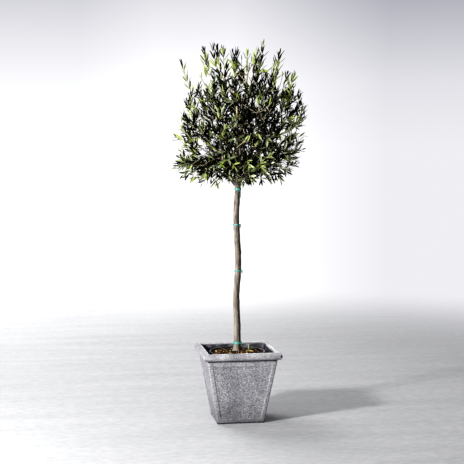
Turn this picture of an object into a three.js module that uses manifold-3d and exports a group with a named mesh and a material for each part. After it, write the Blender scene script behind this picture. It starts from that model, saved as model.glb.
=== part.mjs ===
// Potted olive tree: a half-standard olive with a clear stem and a loosely clipped round
// crown, in its round nursery pot inside a square tapered planter with a rolled rim.
// Millimetres, +Z up. The origin is the middle of the planter's flat underside, and the
// planter's sides face along X and Y.
import * as THREE from 'three';
import { mergeVertices } from 'three/addons/utils/BufferGeometryUtils.js';
import Module from 'manifold-3d';

const wasm = await Module();
wasm.setup();

const { sin, cos, abs, max, min, hypot, round, exp, PI } = Math;
const DEG = PI / 180;
const GAP = 0.3; // between neighbours that touch on the real tree
const vec = (x, y, z) => new THREE.Vector3(x, y, z);
const mix = (a, b, t) => a + (b - a) * t;

// ---------------------------------------------------------------- driving dimensions

const PLANTER = {
  height: 310, footHalf: 101, neckHalf: 150, neckDrop: 4, corner: 5,
  rollR: 15, rollMidHalf: 153, mouthHalf: 141, mouthEase: 4,
  floor: 14, floorHalf: 90, throatHalf: 138,
  panelBorder: 17, panelRecess: 2.5, panelDraft: 1.5, panelLow: 20, panelHigh: 254,
  footWidth: 27, notchHeight: 4.5, notchDepth: 14,
};
const LINER = { bottomR: 80, topR: 116, top: 296, wall: 1.6, lipR: 122, lipDepth: 7, sides: 24 };
const SOIL = { edgeZ: 289, crownZ: 298, padR: 25, bump: 2, sides: 20, chips: 9, chip: [22, 10, 5] };
const TRUNK = {
  foot: SOIL.crownZ + GAP, top: 1070, footR: 14, topR: 11, flareR: 5.5, flareRise: 15,
  knotR: 0.9, knotEvery: 107, sides: 10, step: 40,
};
// The trunk's slight alternate bends: how far its centre lies off the upright, at each height.
const TRUNK_BENDS = [
  [-1, 0, 298], [1.3, 2, 345], [-0.4, 3, 445], [-3.9, -1, 542], [3.9, -3, 680], [-3.5, 2, 880],
  [3, 1, 1008], [4, 0, 1085],
];
const TIE = { heights: [333, 648, 847, 1001], width: 9, thick: 1.6, knot: [6, 8, 12], turn: -35 };
const TAIL = { length: 36, width: 7, thick: 2.4, turn: -65 }; // of the top tie's loose end

// The crown is a round head: flat below, drawn up into a blunt cone, a little fuller to +X above.
const CROWN = {
  middle: 1205, radius: 283, rise: 425, drop: 178, topPower: 2.3, lowPower: 3.4,
  lean: 26, plumbZ: 1130, swing: 640,
};
// The masses of foliage stand round the axis in whorls, and each is carried by its own bough. A
// whorl's boughs leave the trunk, the leader or the nearest bough of the shoulder whorl.
const WHORLS = [
  { name: 'shoulder', count: 4, turn: 160, z: 1396, out: 146, from: 'trunk', leave: 42, end: 74 },
  { name: 'skirt', count: 5, turn: 126, z: 1102, out: 172, from: 'shoulder', at: 0.14, leave: 4, end: 12 },
  { name: 'waist', count: 5, turn: 162, z: 1244, out: 190, from: 'shoulder', at: 0.4, leave: 28, end: 46 },
  { name: 'top', count: 3, turn: 40, z: 1530, out: 88, from: 'leader', at: 0.66, leave: 62, end: 80 },
];
const LEADER = { turn: 100, z: 1400, out: 6, leave: 84, end: 88 }; // the middle limb, up the crown's axis
const BOUGH = {
  rootR: { trunk: 8.5, shoulder: 5.6, leader: 5.2 }, sides: { trunk: 7, shoulder: 5, leader: 5 },
  taper: 0.62, step: 52, rootLow: 1012, rootHigh: 1042, apart: 0.05, least: 0.4, most: 0.72, into: 12,
};

// Long shoots that stand out of the clipped outline: [turn, distance from the axis, height of the tip].
const LONG_SHOOTS = [
  [168, 238, 1572], [172, 150, 1625], [176, 66, 1636], [120, 30, 1624], [-8, 125, 1649],
  [-14, 185, 1602], [-10, 240, 1530], [-12, 318, 1182], [173, 282, 1106], [90, 150, 1600],
  [-90, 140, 1590], [-50, 215, 1540], [60, 225, 1520], [130, 210, 1540], [-130, 205, 1555],
  [30, 280, 1170], [-100, 285, 1130], [100, 290, 1200],
];
const STEM = { rootR: 4.2, tipR: 3, sides: 4, steps: 3 };
const SHOOT = {
  rootR: 2.8, midR: 2.6, tipR: 2.2, shoulder: 0.1, least: 52, most: 240, perMass: 7, tries: 34, bow: 0.45,
  corners: [150, 270, 30], // of its three-sided section
};
const LEAF = {
  length: 80, width: 25, thick: 2.6, broadest: 0.42, lean: 42, pitch: 36, sink: 0.5, stagger: 2.2, turn: 17,
};
// How far along each half of a shoot its pairs of leaves stand, by how long the shoot is.
const PAIRS = { outerLong: [0.85, 0.45, 0.1], outerShort: [0.8, 0.25], innerLong: [0.6], innerShort: [] };
const SIZES = [1, 0.82, 0.66]; // tried in turn until a leaf fits
const ROOM = { mass: 0.55, limb: 8, blade: 10, twig: 6, own: 5, leaf: 15 }; // clear space left round leaves
const HEADING = { low: 1035, span: 600, out: 0.95, sway: 0.22, rise: 2.3, droop: 0.35 }; // of shoots' tips
const SEED = 101;
const GROWTHS = 8; // tried for each mass
const FACES_PER_LEAF = 42; // that a leaf is worth when growths are compared
const SPLINTER = 0.004; // an edge too short to hold its corners apart
// How far out a leaf may reach, by the level of the crown's outline, and where shoots' tips fall.
const REACH = { clipped: 1.14, long: 2.5, shell: [0.75, 1], heart: [0.1, 0.55], heartShare: 0.4 };
const TIPS = { half: 320, low: 1020, high: 1635, chances: 500 }; // the box that chance tips fall in

// ---------------------------------------------------------------- solids

// A closed mesh becomes a solid once its points are shared between its faces.
function toSolid(geometry) {
  geometry.deleteAttribute('normal');
  geometry.deleteAttribute('uv');
  const merged = mergeVertices(geometry, 1e-4);
  const vertProperties = new Float32Array(merged.attributes.position.array);
  const triVerts = new Uint32Array(merged.index.array);
  return new wasm.Manifold(new wasm.Mesh({ numProp: 3, vertProperties, triVerts }));
}

function meshFrom(points, faces) {
  const geometry = new THREE.BufferGeometry().setFromPoints(points);
  geometry.setIndex(faces.flat());
  return geometry;
}

// A closed skin over rings of equal count, each anticlockwise seen from the last ring's side. It
// ends flat at the first and last rings, or runs to a point.
function skin(rings, points = []) {
  const n = rings[0].length;
  const faces = [];
  rings.slice(1).forEach((ring, k) => ring.forEach((_, i) => {
    const [a, b] = [k * n + i, k * n + ((i + 1) % n)];
    faces.push([a, b, b + n], [a, b + n, a + n]);
  }));
  const last = (rings.length - 1) * n;
  if (points.length) {
    const root = rings.length * n;
    for (let i = 0; i < n; i += 1) {
      const next = (i + 1) % n;
      faces.push([root, next, i], [root + 1, last + i, last + next]);
    }
  } else {
    for (let i = 1; i < n - 1; i += 1) faces.push([0, i + 1, i], [last, last + i, last + i + 1]);
  }
  return meshFrom([...rings.flat(), ...points], faces);
}

// A solid of revolution about Z from a profile of [radius, height] that starts and ends on the axis.
function turned(profile, sides) {
  const geometry = new THREE.LatheGeometry(profile.map((p) => new THREE.Vector2(...p)), sides);
  return geometry.rotateX(PI / 2);
}

const roundRing = (r, z, sides) => Array.from({ length: sides }, (_, i) => {
  const a = (2 * PI * i) / sides;
  return vec(r * cos(a), r * sin(a), z);
});

// A square ring with three points round each corner.
function squareRing(half, z, corner) {
  const reach = Math.SQRT2 * (half - corner);
  return [0, 90, 180, 270].flatMap((quarter) => [0, 45, 90].map((turn) => {
    const a = (quarter + turn) * DEG;
    const c = (quarter + 45) * DEG;
    return vec(reach * cos(c) + corner * cos(a), reach * sin(c) + corner * sin(a), z);
  }));
}

const block = (...sides) => toSolid(new THREE.BoxGeometry(...sides));

// Points along a curve with their tangents and a pair of cross directions that turn as little as they can.
function frames(curve, steps) {
  let side = vec(1, 0, 0);
  return Array.from({ length: steps + 1 }, (_, k) => {
    const along = curve.getTangent(k / steps);
    if (abs(side.dot(along)) > 0.95) side = vec(0, 1, 0);
    side = side.clone().addScaledVector(along, -side.dot(along)).normalize();
    return { t: k / steps, at: curve.getPoint(k / steps), along, side, across: along.clone().cross(side) };
  });
}

// A limb along a curve, whose radius is a function of t from 0 at its root to 1 at its tip.
function limbSolid(curve, radius, sides, steps, grow = 0) {
  return toSolid(skin(frames(curve, steps).map((f) => roundRing(radius(f.t) + grow, 0, sides).map((p) => (
    f.at.clone().addScaledVector(f.side, p.x).addScaledVector(f.across, p.y)
  )))));
}

const largest = (made) => made.decompose().reduce((a, b) => (a.volume() > b.volume() ? a : b));

// ---------------------------------------------------------------- seeded chance

function seeded(seed) {
  let s = seed;
  return () => {
    s = (s + 0x6d2b79f5) | 0;
    let t = Math.imul(s ^ (s >>> 15), 1 | s);
    t = (t + Math.imul(t ^ (t >>> 7), 61 | t)) ^ t;
    return ((t ^ (t >>> 14)) >>> 0) / 4294967296;
  };
}
const within = (chance, width) => (chance() * 2 - 1) * width;

// ---------------------------------------------------------------- planter, nursery pot and soil

function planter() {
  const p = PLANTER;
  const rollZ = p.height - p.rollR;
  const neckZ = rollZ - p.rollR - p.neckDrop;
  const ring = ([half, z]) => squareRing(half, z, p.corner);
  const roll = [-90, -60, -30, 0, 30, 60, 90].map((a) => [
    p.rollMidHalf + p.rollR * cos(a * DEG), rollZ + p.rollR * sin(a * DEG),
  ]);
  const body = toSolid(skin([[p.footHalf, 0], [p.neckHalf, neckZ], ...roll].map(ring)));
  const hollow = toSolid(skin([
    [p.floorHalf, p.floor], [p.throatHalf, rollZ - p.rollR], [p.mouthHalf, p.height - p.mouthEase],
    [p.mouthHalf + p.mouthEase, p.height + 1],
  ].map(ring)));

  // A panel's face is set back from the side, and its edges flare outwards.
  const faceAt = (z) => mix(p.footHalf, p.neckHalf, z / neckZ);
  const panel = (out, inset) => {
    const [low, high] = [p.panelLow + inset, p.panelHigh - inset];
    const corners = [[-1, low], [1, low], [1, high], [-1, high]];
    return corners.map(([side, z]) => vec(side * (faceAt(z) - p.panelBorder - inset), -faceAt(z) - out, z));
  };
  const recess = toSolid(skin([panel(-p.panelRecess, p.panelDraft), panel(p.panelRecess, -p.panelDraft)]));
  const notch = block(2 * (p.footHalf - p.footWidth), 2 * p.notchDepth, 2 * p.notchHeight)
    .translate([0, -p.footHalf, 0]);
  const cuts = [0, 90, 180, 270].flatMap((a) => [recess.rotate([0, 0, a]), notch.rotate([0, 0, a])]);
  return cuts.reduce((made, cut) => made.subtract(cut), body.subtract(hollow));
}

const LINER_FOOT = PLANTER.floor + GAP;
const linerInside = (z) => (
  mix(LINER.bottomR, LINER.topR, (z - LINER_FOOT) / (LINER.top - LINER_FOOT)) - LINER.wall
);

function nurseryPot() {
  const l = LINER;
  const lipZ = l.top - l.lipDepth;
  const floorZ = LINER_FOOT + l.wall;
  return toSolid(turned([
    [0, LINER_FOOT], [l.bottomR, LINER_FOOT], [linerInside(lipZ) + l.wall, lipZ], [l.lipR, lipZ],
    [l.lipR, l.top], [linerInside(l.top), l.top], [linerInside(floorZ), floorZ], [0, floorZ],
  ], l.sides));
}

// The compost, mounded up to a flat pad under the trunk, with bark chips pressed into it.
function soil() {
  const s = SOIL;
  const chance = seeded(11);
  const low = LINER_FOOT + LINER.wall + GAP;
  const ease = 1 / cos(PI / LINER.sides); // keeps the soil's corners inside the pot's flats
  const edge = (linerInside(s.edgeZ) - GAP) / ease;
  const height = (r) => mix(s.crownZ, s.edgeZ, max(0, (r - s.padR) / (edge - s.padR)) ** 1.4);
  const bumpy = (r) => roundRing(r, height(r), s.sides).map((p) => p.setZ(p.z + within(chance, s.bump)));
  const mound = toSolid(skin([
    roundRing((linerInside(low) - GAP) / ease, low, s.sides), roundRing(edge, s.edgeZ, s.sides),
    bumpy(0.82 * edge), bumpy(0.55 * edge), roundRing(s.padR, s.crownZ, s.sides),
  ]));
  const chips = Array.from({ length: s.chips }, (_, i) => {
    const r = mix(s.padR + 18, edge - 16, Math.sqrt((i + 0.5) / s.chips));
    const a = i * 137.5 * DEG;
    return block(...s.chip.map((side) => side * mix(0.7, 1.3, chance())))
      .rotate([within(chance, 18), within(chance, 18), 360 * chance()])
      .translate([r * cos(a), r * sin(a), height(r) + 1.5]);
  });
  return largest(chips.reduce((made, chip) => made.add(chip), mound));
}

// ---------------------------------------------------------------- trunk and ties

const trunkLine = new THREE.CatmullRomCurve3(TRUNK_BENDS.map((p) => vec(...p)));
const trunkPoints = trunkLine.getPoints(200);

function trunkAt(z) {
  const k = max(1, trunkPoints.findIndex((p) => p.z >= z));
  const [a, b] = [trunkPoints[k - 1], trunkPoints[k]];
  return a.clone().lerp(b, (z - a.z) / (b.z - a.z)).setZ(z);
}

function trunkRadius(z) {
  const rise = z - TRUNK.foot;
  const knot = TRUNK.knotR * max(0, cos((2 * PI * rise) / TRUNK.knotEvery)) ** 4;
  const taper = mix(TRUNK.footR, TRUNK.topR, rise / (TRUNK.top - TRUNK.foot));
  return taper + knot + TRUNK.flareR * exp(-rise / TRUNK.flareRise);
}

const trunkRings = (levels, grow) => toSolid(skin(levels.map((z) => (
  roundRing(trunkRadius(z) + grow, 0, TRUNK.sides).map((p) => p.add(trunkAt(z)))
))));

function trunk(grow = 0) {
  const rises = [0, 6, 16];
  for (let rise = TRUNK.step; rise < TRUNK.top - TRUNK.foot - 15; rise += TRUNK.step) rises.push(rise);
  return trunkRings([...rises.map((rise) => TRUNK.foot + rise), TRUNK.top], grow);
}

// A turn of green tying tape, knotted at one side. The top one has a loose end down the stem.
function tie(z, withTail) {
  const [low, high] = [z - TIE.width / 2, z + TIE.width / 2];
  const place = trunkAt(z).toArray();
  const out = trunkRadius(z) + TIE.thick;
  const put = (piece, x, down, turn) => (
    piece.translate([x, 0, -down]).rotate([0, 0, turn]).translate(place)
  );
  let made = trunkRings([low, high], GAP + TIE.thick).add(put(block(...TIE.knot), out, 0, TIE.turn));
  if (withTail) {
    const tail = block(TAIL.thick, TAIL.width, TAIL.length);
    made = made.add(put(tail, out + TAIL.thick / 2, TAIL.length / 2, TAIL.turn));
  }
  return made.subtract(trunk(GAP));
}

// ---------------------------------------------------------------- crown outline and masses

// The crown's middle swings off the trunk's line, to -X at its foot and to +X above.
const crownShift = (z) => CROWN.lean * sin((PI * (z - CROWN.plumbZ)) / CROWN.swing);

// Under 1 inside the crown's outline, and 1 on it.
function level(p) {
  const above = p.z > CROWN.middle;
  const power = above ? CROWN.topPower : CROWN.lowPower;
  const t = abs(p.z - CROWN.middle) / (above ? CROWN.rise : CROWN.drop);
  return (hypot(p.x - crownShift(p.z), p.y) / CROWN.radius) ** power + t ** power;
}

const crownSpot = (turn, out, z) => vec(crownShift(z) + out * cos(turn * DEG), out * sin(turn * DEG), z);

const masses = WHORLS.flatMap((whorl) => Array.from({ length: whorl.count }, (_, i) => {
  const turn = whorl.turn + (360 * i) / whorl.count;
  return { name: `${whorl.name}_${i + 1}`, whorl, turn, centre: crownSpot(turn, whorl.out, whorl.z) };
}));

// How far a point is inside a mass's own space, which ends halfway to each other mass.
function depthIn(mass, p) {
  return min(...masses.filter((m) => m !== mass).map((m) => {
    const away = m.centre.clone().sub(mass.centre);
    const halfway = mass.centre.clone().addScaledVector(away, 0.5);
    return -p.clone().sub(halfway).dot(away.normalize());
  }));
}

// ---------------------------------------------------------------- boughs

const heading = (turn, climb) => (
  vec(cos(turn * DEG) * cos(climb * DEG), sin(turn * DEG) * cos(climb * DEG), sin(climb * DEG))
);
const apart = (a, b) => abs(((((a - b) % 360) + 540) % 360) - 180);
const boughs = [];

// A bough from a point on its parent's centre line, bending from one climb to another.
function addBough(name, from, root, tip, leave, end, parent) {
  const turn = Math.atan2(tip.y - root.y, tip.x - root.x) / DEG;
  const length = tip.distanceTo(root);
  const line = new THREE.CubicBezierCurve3(
    root, root.clone().addScaledVector(heading(turn, leave), 0.4 * length),
    tip.clone().addScaledVector(heading(turn, end), -0.35 * length), tip,
  );
  const rootR = BOUGH.rootR[from];
  const radius = (t) => mix(rootR, rootR * BOUGH.taper, t);
  const bough = { name: `bough_${name}`, line, radius, sides: BOUGH.sides[from], parent };
  bough.steps = max(2, round(line.getLength() / BOUGH.step));
  boughs.push(bough);
  return bough;
}

// A bough ends a little way inside the space of the mass that it carries.
function endFor(mass, root) {
  let t = BOUGH.least;
  while (t < BOUGH.most && depthIn(mass, root.clone().lerp(mass.centre, t)) < BOUGH.into) t += 0.02;
  return root.clone().lerp(mass.centre, t);
}

const leaderTip = crownSpot(LEADER.turn, LEADER.out, LEADER.z);
const leaderRoot = trunkAt(TRUNK.top - 1);
const leader = addBough('leader', 'trunk', leaderRoot, leaderTip, LEADER.leave, LEADER.end, null);
masses.forEach((mass) => {
  const { from, at, leave, end, count } = mass.whorl;
  const order = masses.filter((m) => m.whorl === mass.whorl).indexOf(mass);
  let parent = null;
  if (from === 'leader') parent = leader;
  if (from === 'shoulder') {
    parent = masses.filter((m) => m.whorl.name === from)
      .reduce((a, b) => (apart(a.turn, mass.turn) < apart(b.turn, mass.turn) ? a : b)).bough;
  }
  const root = parent
    ? parent.line.getPoint(at + BOUGH.apart * (order % 3))
    : trunkAt(mix(BOUGH.rootLow, BOUGH.rootHigh, order / (count - 1)));
  mass.bough = addBough(mass.name, from, root, endFor(mass, root), leave, end, parent);
});

const boughSolid = (b, grow = 0) => limbSolid(b.line, b.radius, b.sides, b.steps, grow);

// Each bough is cut back clear of the trunk, of its parent and of those made before it near its root.
function boughSolids() {
  const grownTrunk = trunk(GAP);
  const grown = [];
  return boughs.map((b) => {
    const rivals = grown.filter((g) => g.bough === b.parent || g.bough.parent === b.parent);
    const made = rivals.reduce((left, g) => left.subtract(g.made), boughSolid(b).subtract(grownTrunk));
    grown.push({ bough: b, made: boughSolid(b, GAP) });
    return largest(made);
  });
}

// ---------------------------------------------------------------- foliage

// Points down every limb with the limb's radius there, which leaves and twigs keep clear of.
const BONES = [
  ...boughs.flatMap((b) => Array.from({ length: 25 }, (_, k) => (
    { at: b.line.getPoint(k / 24), r: b.radius(k / 24), bough: b }
  ))),
  ...Array.from({ length: 20 }, (_, k) => trunkAt(mix(940, TRUNK.top, k / 19))).map((at) => (
    { at, r: trunkRadius(at.z) + TIE.thick, bough: null }
  )),
];
const clearOfLimbs = (p, room, own) => (
  BONES.every((b) => b.at.distanceTo(p) > b.r + (b.bough === own ? ROOM.own : room))
);

// The way a shoot's tip points: outwards and a little down below, more and more upwards above.
function tipHeading(p, chance) {
  const height = max(0, (p.z - HEADING.low) / HEADING.span);
  const out = vec(p.x - crownShift(p.z), p.y, 0).multiplyScalar(HEADING.out / CROWN.radius);
  const sway = [within(chance, HEADING.sway), within(chance, HEADING.sway)];
  return out.add(vec(...sway, HEADING.rise * height ** 0.5 - HEADING.droop)).normalize();
}

// A leaf's widest ring: its two edges and the keel below, anticlockwise seen from its tip.
function leafRing(root, along, face, size) {
  const edge = along.clone().cross(face).multiplyScalar((LEAF.width * size) / 2);
  const middle = root.clone().addScaledVector(along, LEAF.length * LEAF.broadest * size);
  const keel = middle.clone().addScaledVector(face, -LEAF.thick * size);
  return [middle.clone().add(edge), keel, middle.clone().sub(edge)];
}

function grow(mass, seed) {
  const chance = seeded(seed);
  const inside = (p, room) => depthIn(mass, p) > room + ROOM.mass;
  const tip = mass.bough.line.getPoint(1);
  const way = mass.bough.line.getTangent(1);
  const root = tip.clone().addScaledVector(way, GAP);
  const stem = new THREE.QuadraticBezierCurve3(
    root, root.clone().addScaledVector(way, 0.4 * root.distanceTo(mass.centre)), mass.centre,
  );
  const twigs = [limbSolid(stem, (t) => mix(STEM.rootR, STEM.tipR, t), STEM.sides, STEM.steps)];
  const leaves = [];
  const joints = [0.35, 0.5, 0.65, 0.8, 0.95].map((t) => stem.getPoint(t));
  const leafMiddles = [];

  // Whether a leaf stays in the mass's space and clear of limbs and of other leaves.
  function leafFits(start, ring, end, farthest) {
    const corners = [...ring, end];
    return corners.every((p) => inside(p, 0) && level(p) < farthest && clearOfLimbs(p, ROOM.limb, null))
      && [0.15, 0.3, 0.7].every((t) => clearOfLimbs(start.clone().lerp(end, t), ROOM.blade, mass.bough))
      && leafMiddles.every((m) => m.distanceTo(ring[1]) > ROOM.leaf);
  }

  function addLeaf(at, along, face, size, farthest) {
    const start = at.clone().addScaledVector(along, -LEAF.sink);
    for (const part of SIZES) {
      const ring = leafRing(start, along, face, size * part);
      const end = start.clone().addScaledVector(along, LEAF.length * size * part);
      if (leafFits(start, ring, end, farthest)) {
        leafMiddles.push(ring[1]);
        leaves.push(toSolid(skin([ring], [start, end])));
        return;
      }
    }
  }

  // Pairs of leaves down one straight half of a shoot, each pair a quarter turn on from the last.
  function addPairs(from, to, frame, places, turn, farthest) {
    const along = to.clone().sub(from).normalize();
    places.forEach((t, k) => {
      const angle = (LEAF.turn + within(chance, 9) + 90 * (turn + k)) * DEG;
      const out = frame.side.clone().multiplyScalar(cos(angle)).addScaledVector(frame.across, sin(angle));
      [1, -1].forEach((sign) => {
        const lean = (LEAF.lean + within(chance, 9)) * DEG;
        const toward = along.clone().multiplyScalar(cos(lean)).addScaledVector(out, sign * sin(lean));
        const face = along.clone().addScaledVector(toward, -along.dot(toward)).normalize();
        const foot = from.clone().lerp(to, t).addScaledVector(along, sign * LEAF.stagger);
        addLeaf(foot, toward, face, mix(0.85, 1.1, chance()), farthest);
      });
    });
  }

  // A shoot bows from the nearest joint and runs out in a leaf whose tip is at the place given.
  function addShoot(place, farthest) {
    const way = tipHeading(place, chance);
    const end = place.clone().addScaledVector(way, -LEAF.length);
    const near = joints.map((j) => [j, j.distanceTo(end)])
      .filter(([, d]) => d > SHOOT.least && d < SHOOT.most);
    if (!near.length) return false;
    const [from, far] = near.reduce((a, b) => (a[1] < b[1] ? a : b));
    const knee = end.clone().addScaledVector(way, -SHOOT.bow * far);
    const path = new THREE.QuadraticBezierCurve3(from, knee, end);
    const free = Array.from({ length: 9 }, (_, k) => path.getPoint(k / 8)).every((p) => (
      inside(p, SHOOT.rootR) && clearOfLimbs(p, ROOM.twig, mass.bough) && level(p) < farthest
    ));
    const [a, b, c] = frames(path, 2);
    const ring = leafRing(c.at, c.along, c.across, 1);
    const leafEnd = c.at.clone().addScaledVector(c.along, LEAF.length);
    if (!free || !leafFits(c.at, ring, leafEnd, farthest)) return false;
    const tube = (f, r) => SHOOT.corners.map((turn) => f.at.clone()
      .addScaledVector(f.side, r * cos(turn * DEG)).addScaledVector(f.across, r * sin(turn * DEG)));
    const first = { ...a, at: path.getPoint(SHOOT.shoulder) };
    const rings = [tube(first, SHOOT.rootR), tube(b, SHOOT.midR), tube(c, SHOOT.tipR), ring];
    leafMiddles.push(ring[1]);
    twigs.push(toSolid(skin(rings, [from, leafEnd])));
    joints.push(a.at.clone().lerp(b.at, 0.85), b.at.clone().lerp(c.at, 0.5));
    const half = far / 2;
    const outer = half > 2 * LEAF.pitch ? PAIRS.outerLong : PAIRS.outerShort;
    const inner = half > 1.4 * LEAF.pitch ? PAIRS.innerLong : PAIRS.innerShort;
    addPairs(b.at, c.at, b, outer, 0, farthest);
    addPairs(a.at, b.at, a, inner, outer.length, farthest);
    return true;
  }

  // The best of many chance tips is the one furthest from the tips already there.
  const tips = [];
  const lonely = (p) => (tips.length ? min(...tips.map((q) => q.distanceTo(p))) : 1);
  function chanceTip([lowest, highest]) {
    let best = null;
    for (let k = 0; k < TIPS.chances; k += 1) {
      const [x, y] = [within(chance, TIPS.half), within(chance, TIPS.half)];
      const p = vec(x, y, mix(TIPS.low, TIPS.high, chance()));
      const l = level(p);
      if (l > lowest && l < highest && inside(p, 6) && (!best || lonely(p) > lonely(best))) best = p;
    }
    return best;
  }

  LONG_SHOOTS.map((l) => crownSpot(...l)).filter((p) => inside(p, 4)).forEach((p) => {
    if (addShoot(p, REACH.long)) tips.push(p);
  });
  for (let k = 0; k < SHOOT.tries && tips.length < SHOOT.perMass; k += 1) {
    const p = chanceTip(k % 5 < 5 - 5 * REACH.heartShare ? REACH.shell : REACH.heart);
    if (p && addShoot(p, REACH.clipped)) tips.push(p);
  }
  const made = [...twigs, ...leaves].reduce((joined, piece) => joined.add(piece));
  return { made: largest(made), count: leafMiddles.length };
}

function shortestEdge(made) {
  const { vertProperties, triVerts } = made.getMesh();
  const corner = (k) => new THREE.Vector3().fromArray(vertProperties, 3 * triVerts[k]);
  const next = (k) => (k % 3 === 2 ? k - 2 : k + 1);
  return triVerts.reduce((least, _, k) => min(least, corner(k).distanceTo(corner(next(k)))), Infinity);
}

// Of several chance growths without splinters, the one with the most leaves for its faces.
function massSolid(mass, seed) {
  const worth = ({ made, count }) => (
    shortestEdge(made) < SPLINTER ? -Infinity : count * FACES_PER_LEAF - made.numTri()
  );
  const growths = Array.from({ length: GROWTHS }, (_, k) => grow(mass, seed + k * masses.length));
  return growths.reduce((a, b) => (worth(a) > worth(b) ? a : b)).made;
}

// ---------------------------------------------------------------- the model

const finish = (color, roughness) => new THREE.MeshStandardMaterial({ color, roughness, metalness: 0 });
const MATERIALS = {
  planter: finish(0x8f8f94, 0.75), nurseryPot: finish(0x17171a, 0.5), soil: finish(0x3a2617, 0.95),
  bark: finish(0xa39a88, 0.85), tape: finish(0x6fc4b4, 0.4), leaf: finish(0x66703f, 0.55),
};

function sub(name, made, material) {
  const { vertProperties, triVerts } = made.getMesh();
  const geometry = new THREE.BufferGeometry();
  geometry.setAttribute('position', new THREE.BufferAttribute(new Float32Array(vertProperties), 3));
  geometry.setIndex(new THREE.BufferAttribute(new Uint32Array(triVerts), 1));
  geometry.computeVertexNormals();
  const mesh = new THREE.Mesh(geometry, material);
  mesh.name = name;
  return mesh;
}

const tree = new THREE.Group();
tree.add(sub('planter', planter(), MATERIALS.planter));
tree.add(sub('nursery_pot', nurseryPot(), MATERIALS.nurseryPot));
tree.add(sub('soil', soil(), MATERIALS.soil));
tree.add(sub('trunk', trunk(), MATERIALS.bark));
TIE.heights.forEach((z, i) => {
  tree.add(sub(`tie_${i + 1}`, tie(z, i === TIE.heights.length - 1), MATERIALS.tape));
});
boughSolids().forEach((made, i) => tree.add(sub(boughs[i].name, made, MATERIALS.bark)));
masses.forEach((mass, i) => {
  tree.add(sub(`foliage_${mass.name}`, massSolid(mass, SEED + i), MATERIALS.leaf));
});

export default tree;
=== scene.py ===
"""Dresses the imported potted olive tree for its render.

Metres, in the part's frame: the origin is the middle of the planter's flat underside, +Z is up and
the planter's front faces -Y. The tree is grown here by the same rule as the part's solids, with
finer twigs and with leaves of their real size.
"""

from math import atan2, cos, degrees, exp, pi, radians, sin, sqrt

import bmesh
import bpy
import numpy as np
from mathutils import Matrix, Vector, noise
from numpy.linalg import norm

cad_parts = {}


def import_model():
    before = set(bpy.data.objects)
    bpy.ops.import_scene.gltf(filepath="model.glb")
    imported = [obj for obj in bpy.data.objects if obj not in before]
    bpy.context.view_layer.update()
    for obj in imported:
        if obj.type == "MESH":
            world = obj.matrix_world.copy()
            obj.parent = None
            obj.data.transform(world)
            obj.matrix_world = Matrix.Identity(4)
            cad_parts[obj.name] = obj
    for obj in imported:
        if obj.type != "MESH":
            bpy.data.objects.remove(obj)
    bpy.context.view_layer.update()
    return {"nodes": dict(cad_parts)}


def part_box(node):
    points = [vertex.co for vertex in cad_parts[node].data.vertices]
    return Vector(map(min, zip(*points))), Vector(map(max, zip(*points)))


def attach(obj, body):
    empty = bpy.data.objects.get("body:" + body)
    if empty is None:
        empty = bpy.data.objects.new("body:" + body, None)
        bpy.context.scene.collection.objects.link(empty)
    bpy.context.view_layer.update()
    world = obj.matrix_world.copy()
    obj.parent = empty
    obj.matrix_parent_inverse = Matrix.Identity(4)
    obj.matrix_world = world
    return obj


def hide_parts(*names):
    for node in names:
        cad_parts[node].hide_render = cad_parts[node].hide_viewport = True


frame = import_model()

# ---------------------------------------------------------------- camera

IMAGE_SIDE = 464  # pixels
FOCAL_PIXELS = 1063
SENSOR = 0.036
CAMERA_PLACE = Vector((-0.761, -4.527, 1.10))
CAMERA_PITCH = radians(-3.55)
IMAGE_AHEAD = np.array((0.161, 0.987, 0))  # level, from the camera towards the tree
IMAGE_RIGHT = np.array((0.987, -0.161, 0))  # level, across the picture
CAMERA_AHEAD = (Vector(IMAGE_AHEAD).normalized() * cos(CAMERA_PITCH)
                + Vector((0, 0, sin(CAMERA_PITCH))))

# ---------------------------------------------------------------- planter, pot and soil

ROUND = 96  # sides of the nursery pot, the compost and the floor
PLANTER_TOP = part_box("planter")[1].z
FOOT_HALF, NECK_HALF, NECK_DROP = 0.101, 0.150, 0.004
ROLL_R, ROLL_MID_HALF = 0.015, 0.153
MOUTH_HALF, MOUTH_EASE, THROAT_HALF = 0.141, 0.004, 0.138
FLOOR_Z, FLOOR_HALF = 0.014, 0.090
BODY_CORNER, RIM_CORNER = 0.005, 0.0022
PANEL_BORDER, PANEL_RECESS, PANEL_DRAFT = 0.017, 0.0022, 0.003
GROOVE = 0.0042  # deep and high, under the rolled rim
PAINTED_FOOT_SHADE = 0.006  # height of the dark band of painted shade at the foot
UNSHADED_LIP = 0.006  # how far the inner wall keeps the border's zinc before its painted shade, below the planter's top
BREAK = {"centre": (0.1655, -0.1665, 0.2975), "radius": 0.0075, "rings": 6, "sides": 9,
         "uneven": 0.5, "grain": 2.1}
PANEL_LOW, PANEL_HIGH = 0.020, 0.254
EDGE_BEVEL = 0.0009
FOOT_WIDTH, NOTCH_HEIGHT, NOTCH_DEPTH = 0.027, 0.0045, 0.014

LINER_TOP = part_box("nursery_pot")[1].z
LINER_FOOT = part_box("nursery_pot")[0].z
LINER_R, LINER_BOTTOM_R, LINER_LIP_R = 0.116, 0.080, 0.122
LINER_LIP_DEPTH, LINER_LIP_ROUND, LINER_WALL, LINER_AXIS_R = 0.007, 0.0012, 0.0016, 0.002

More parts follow.
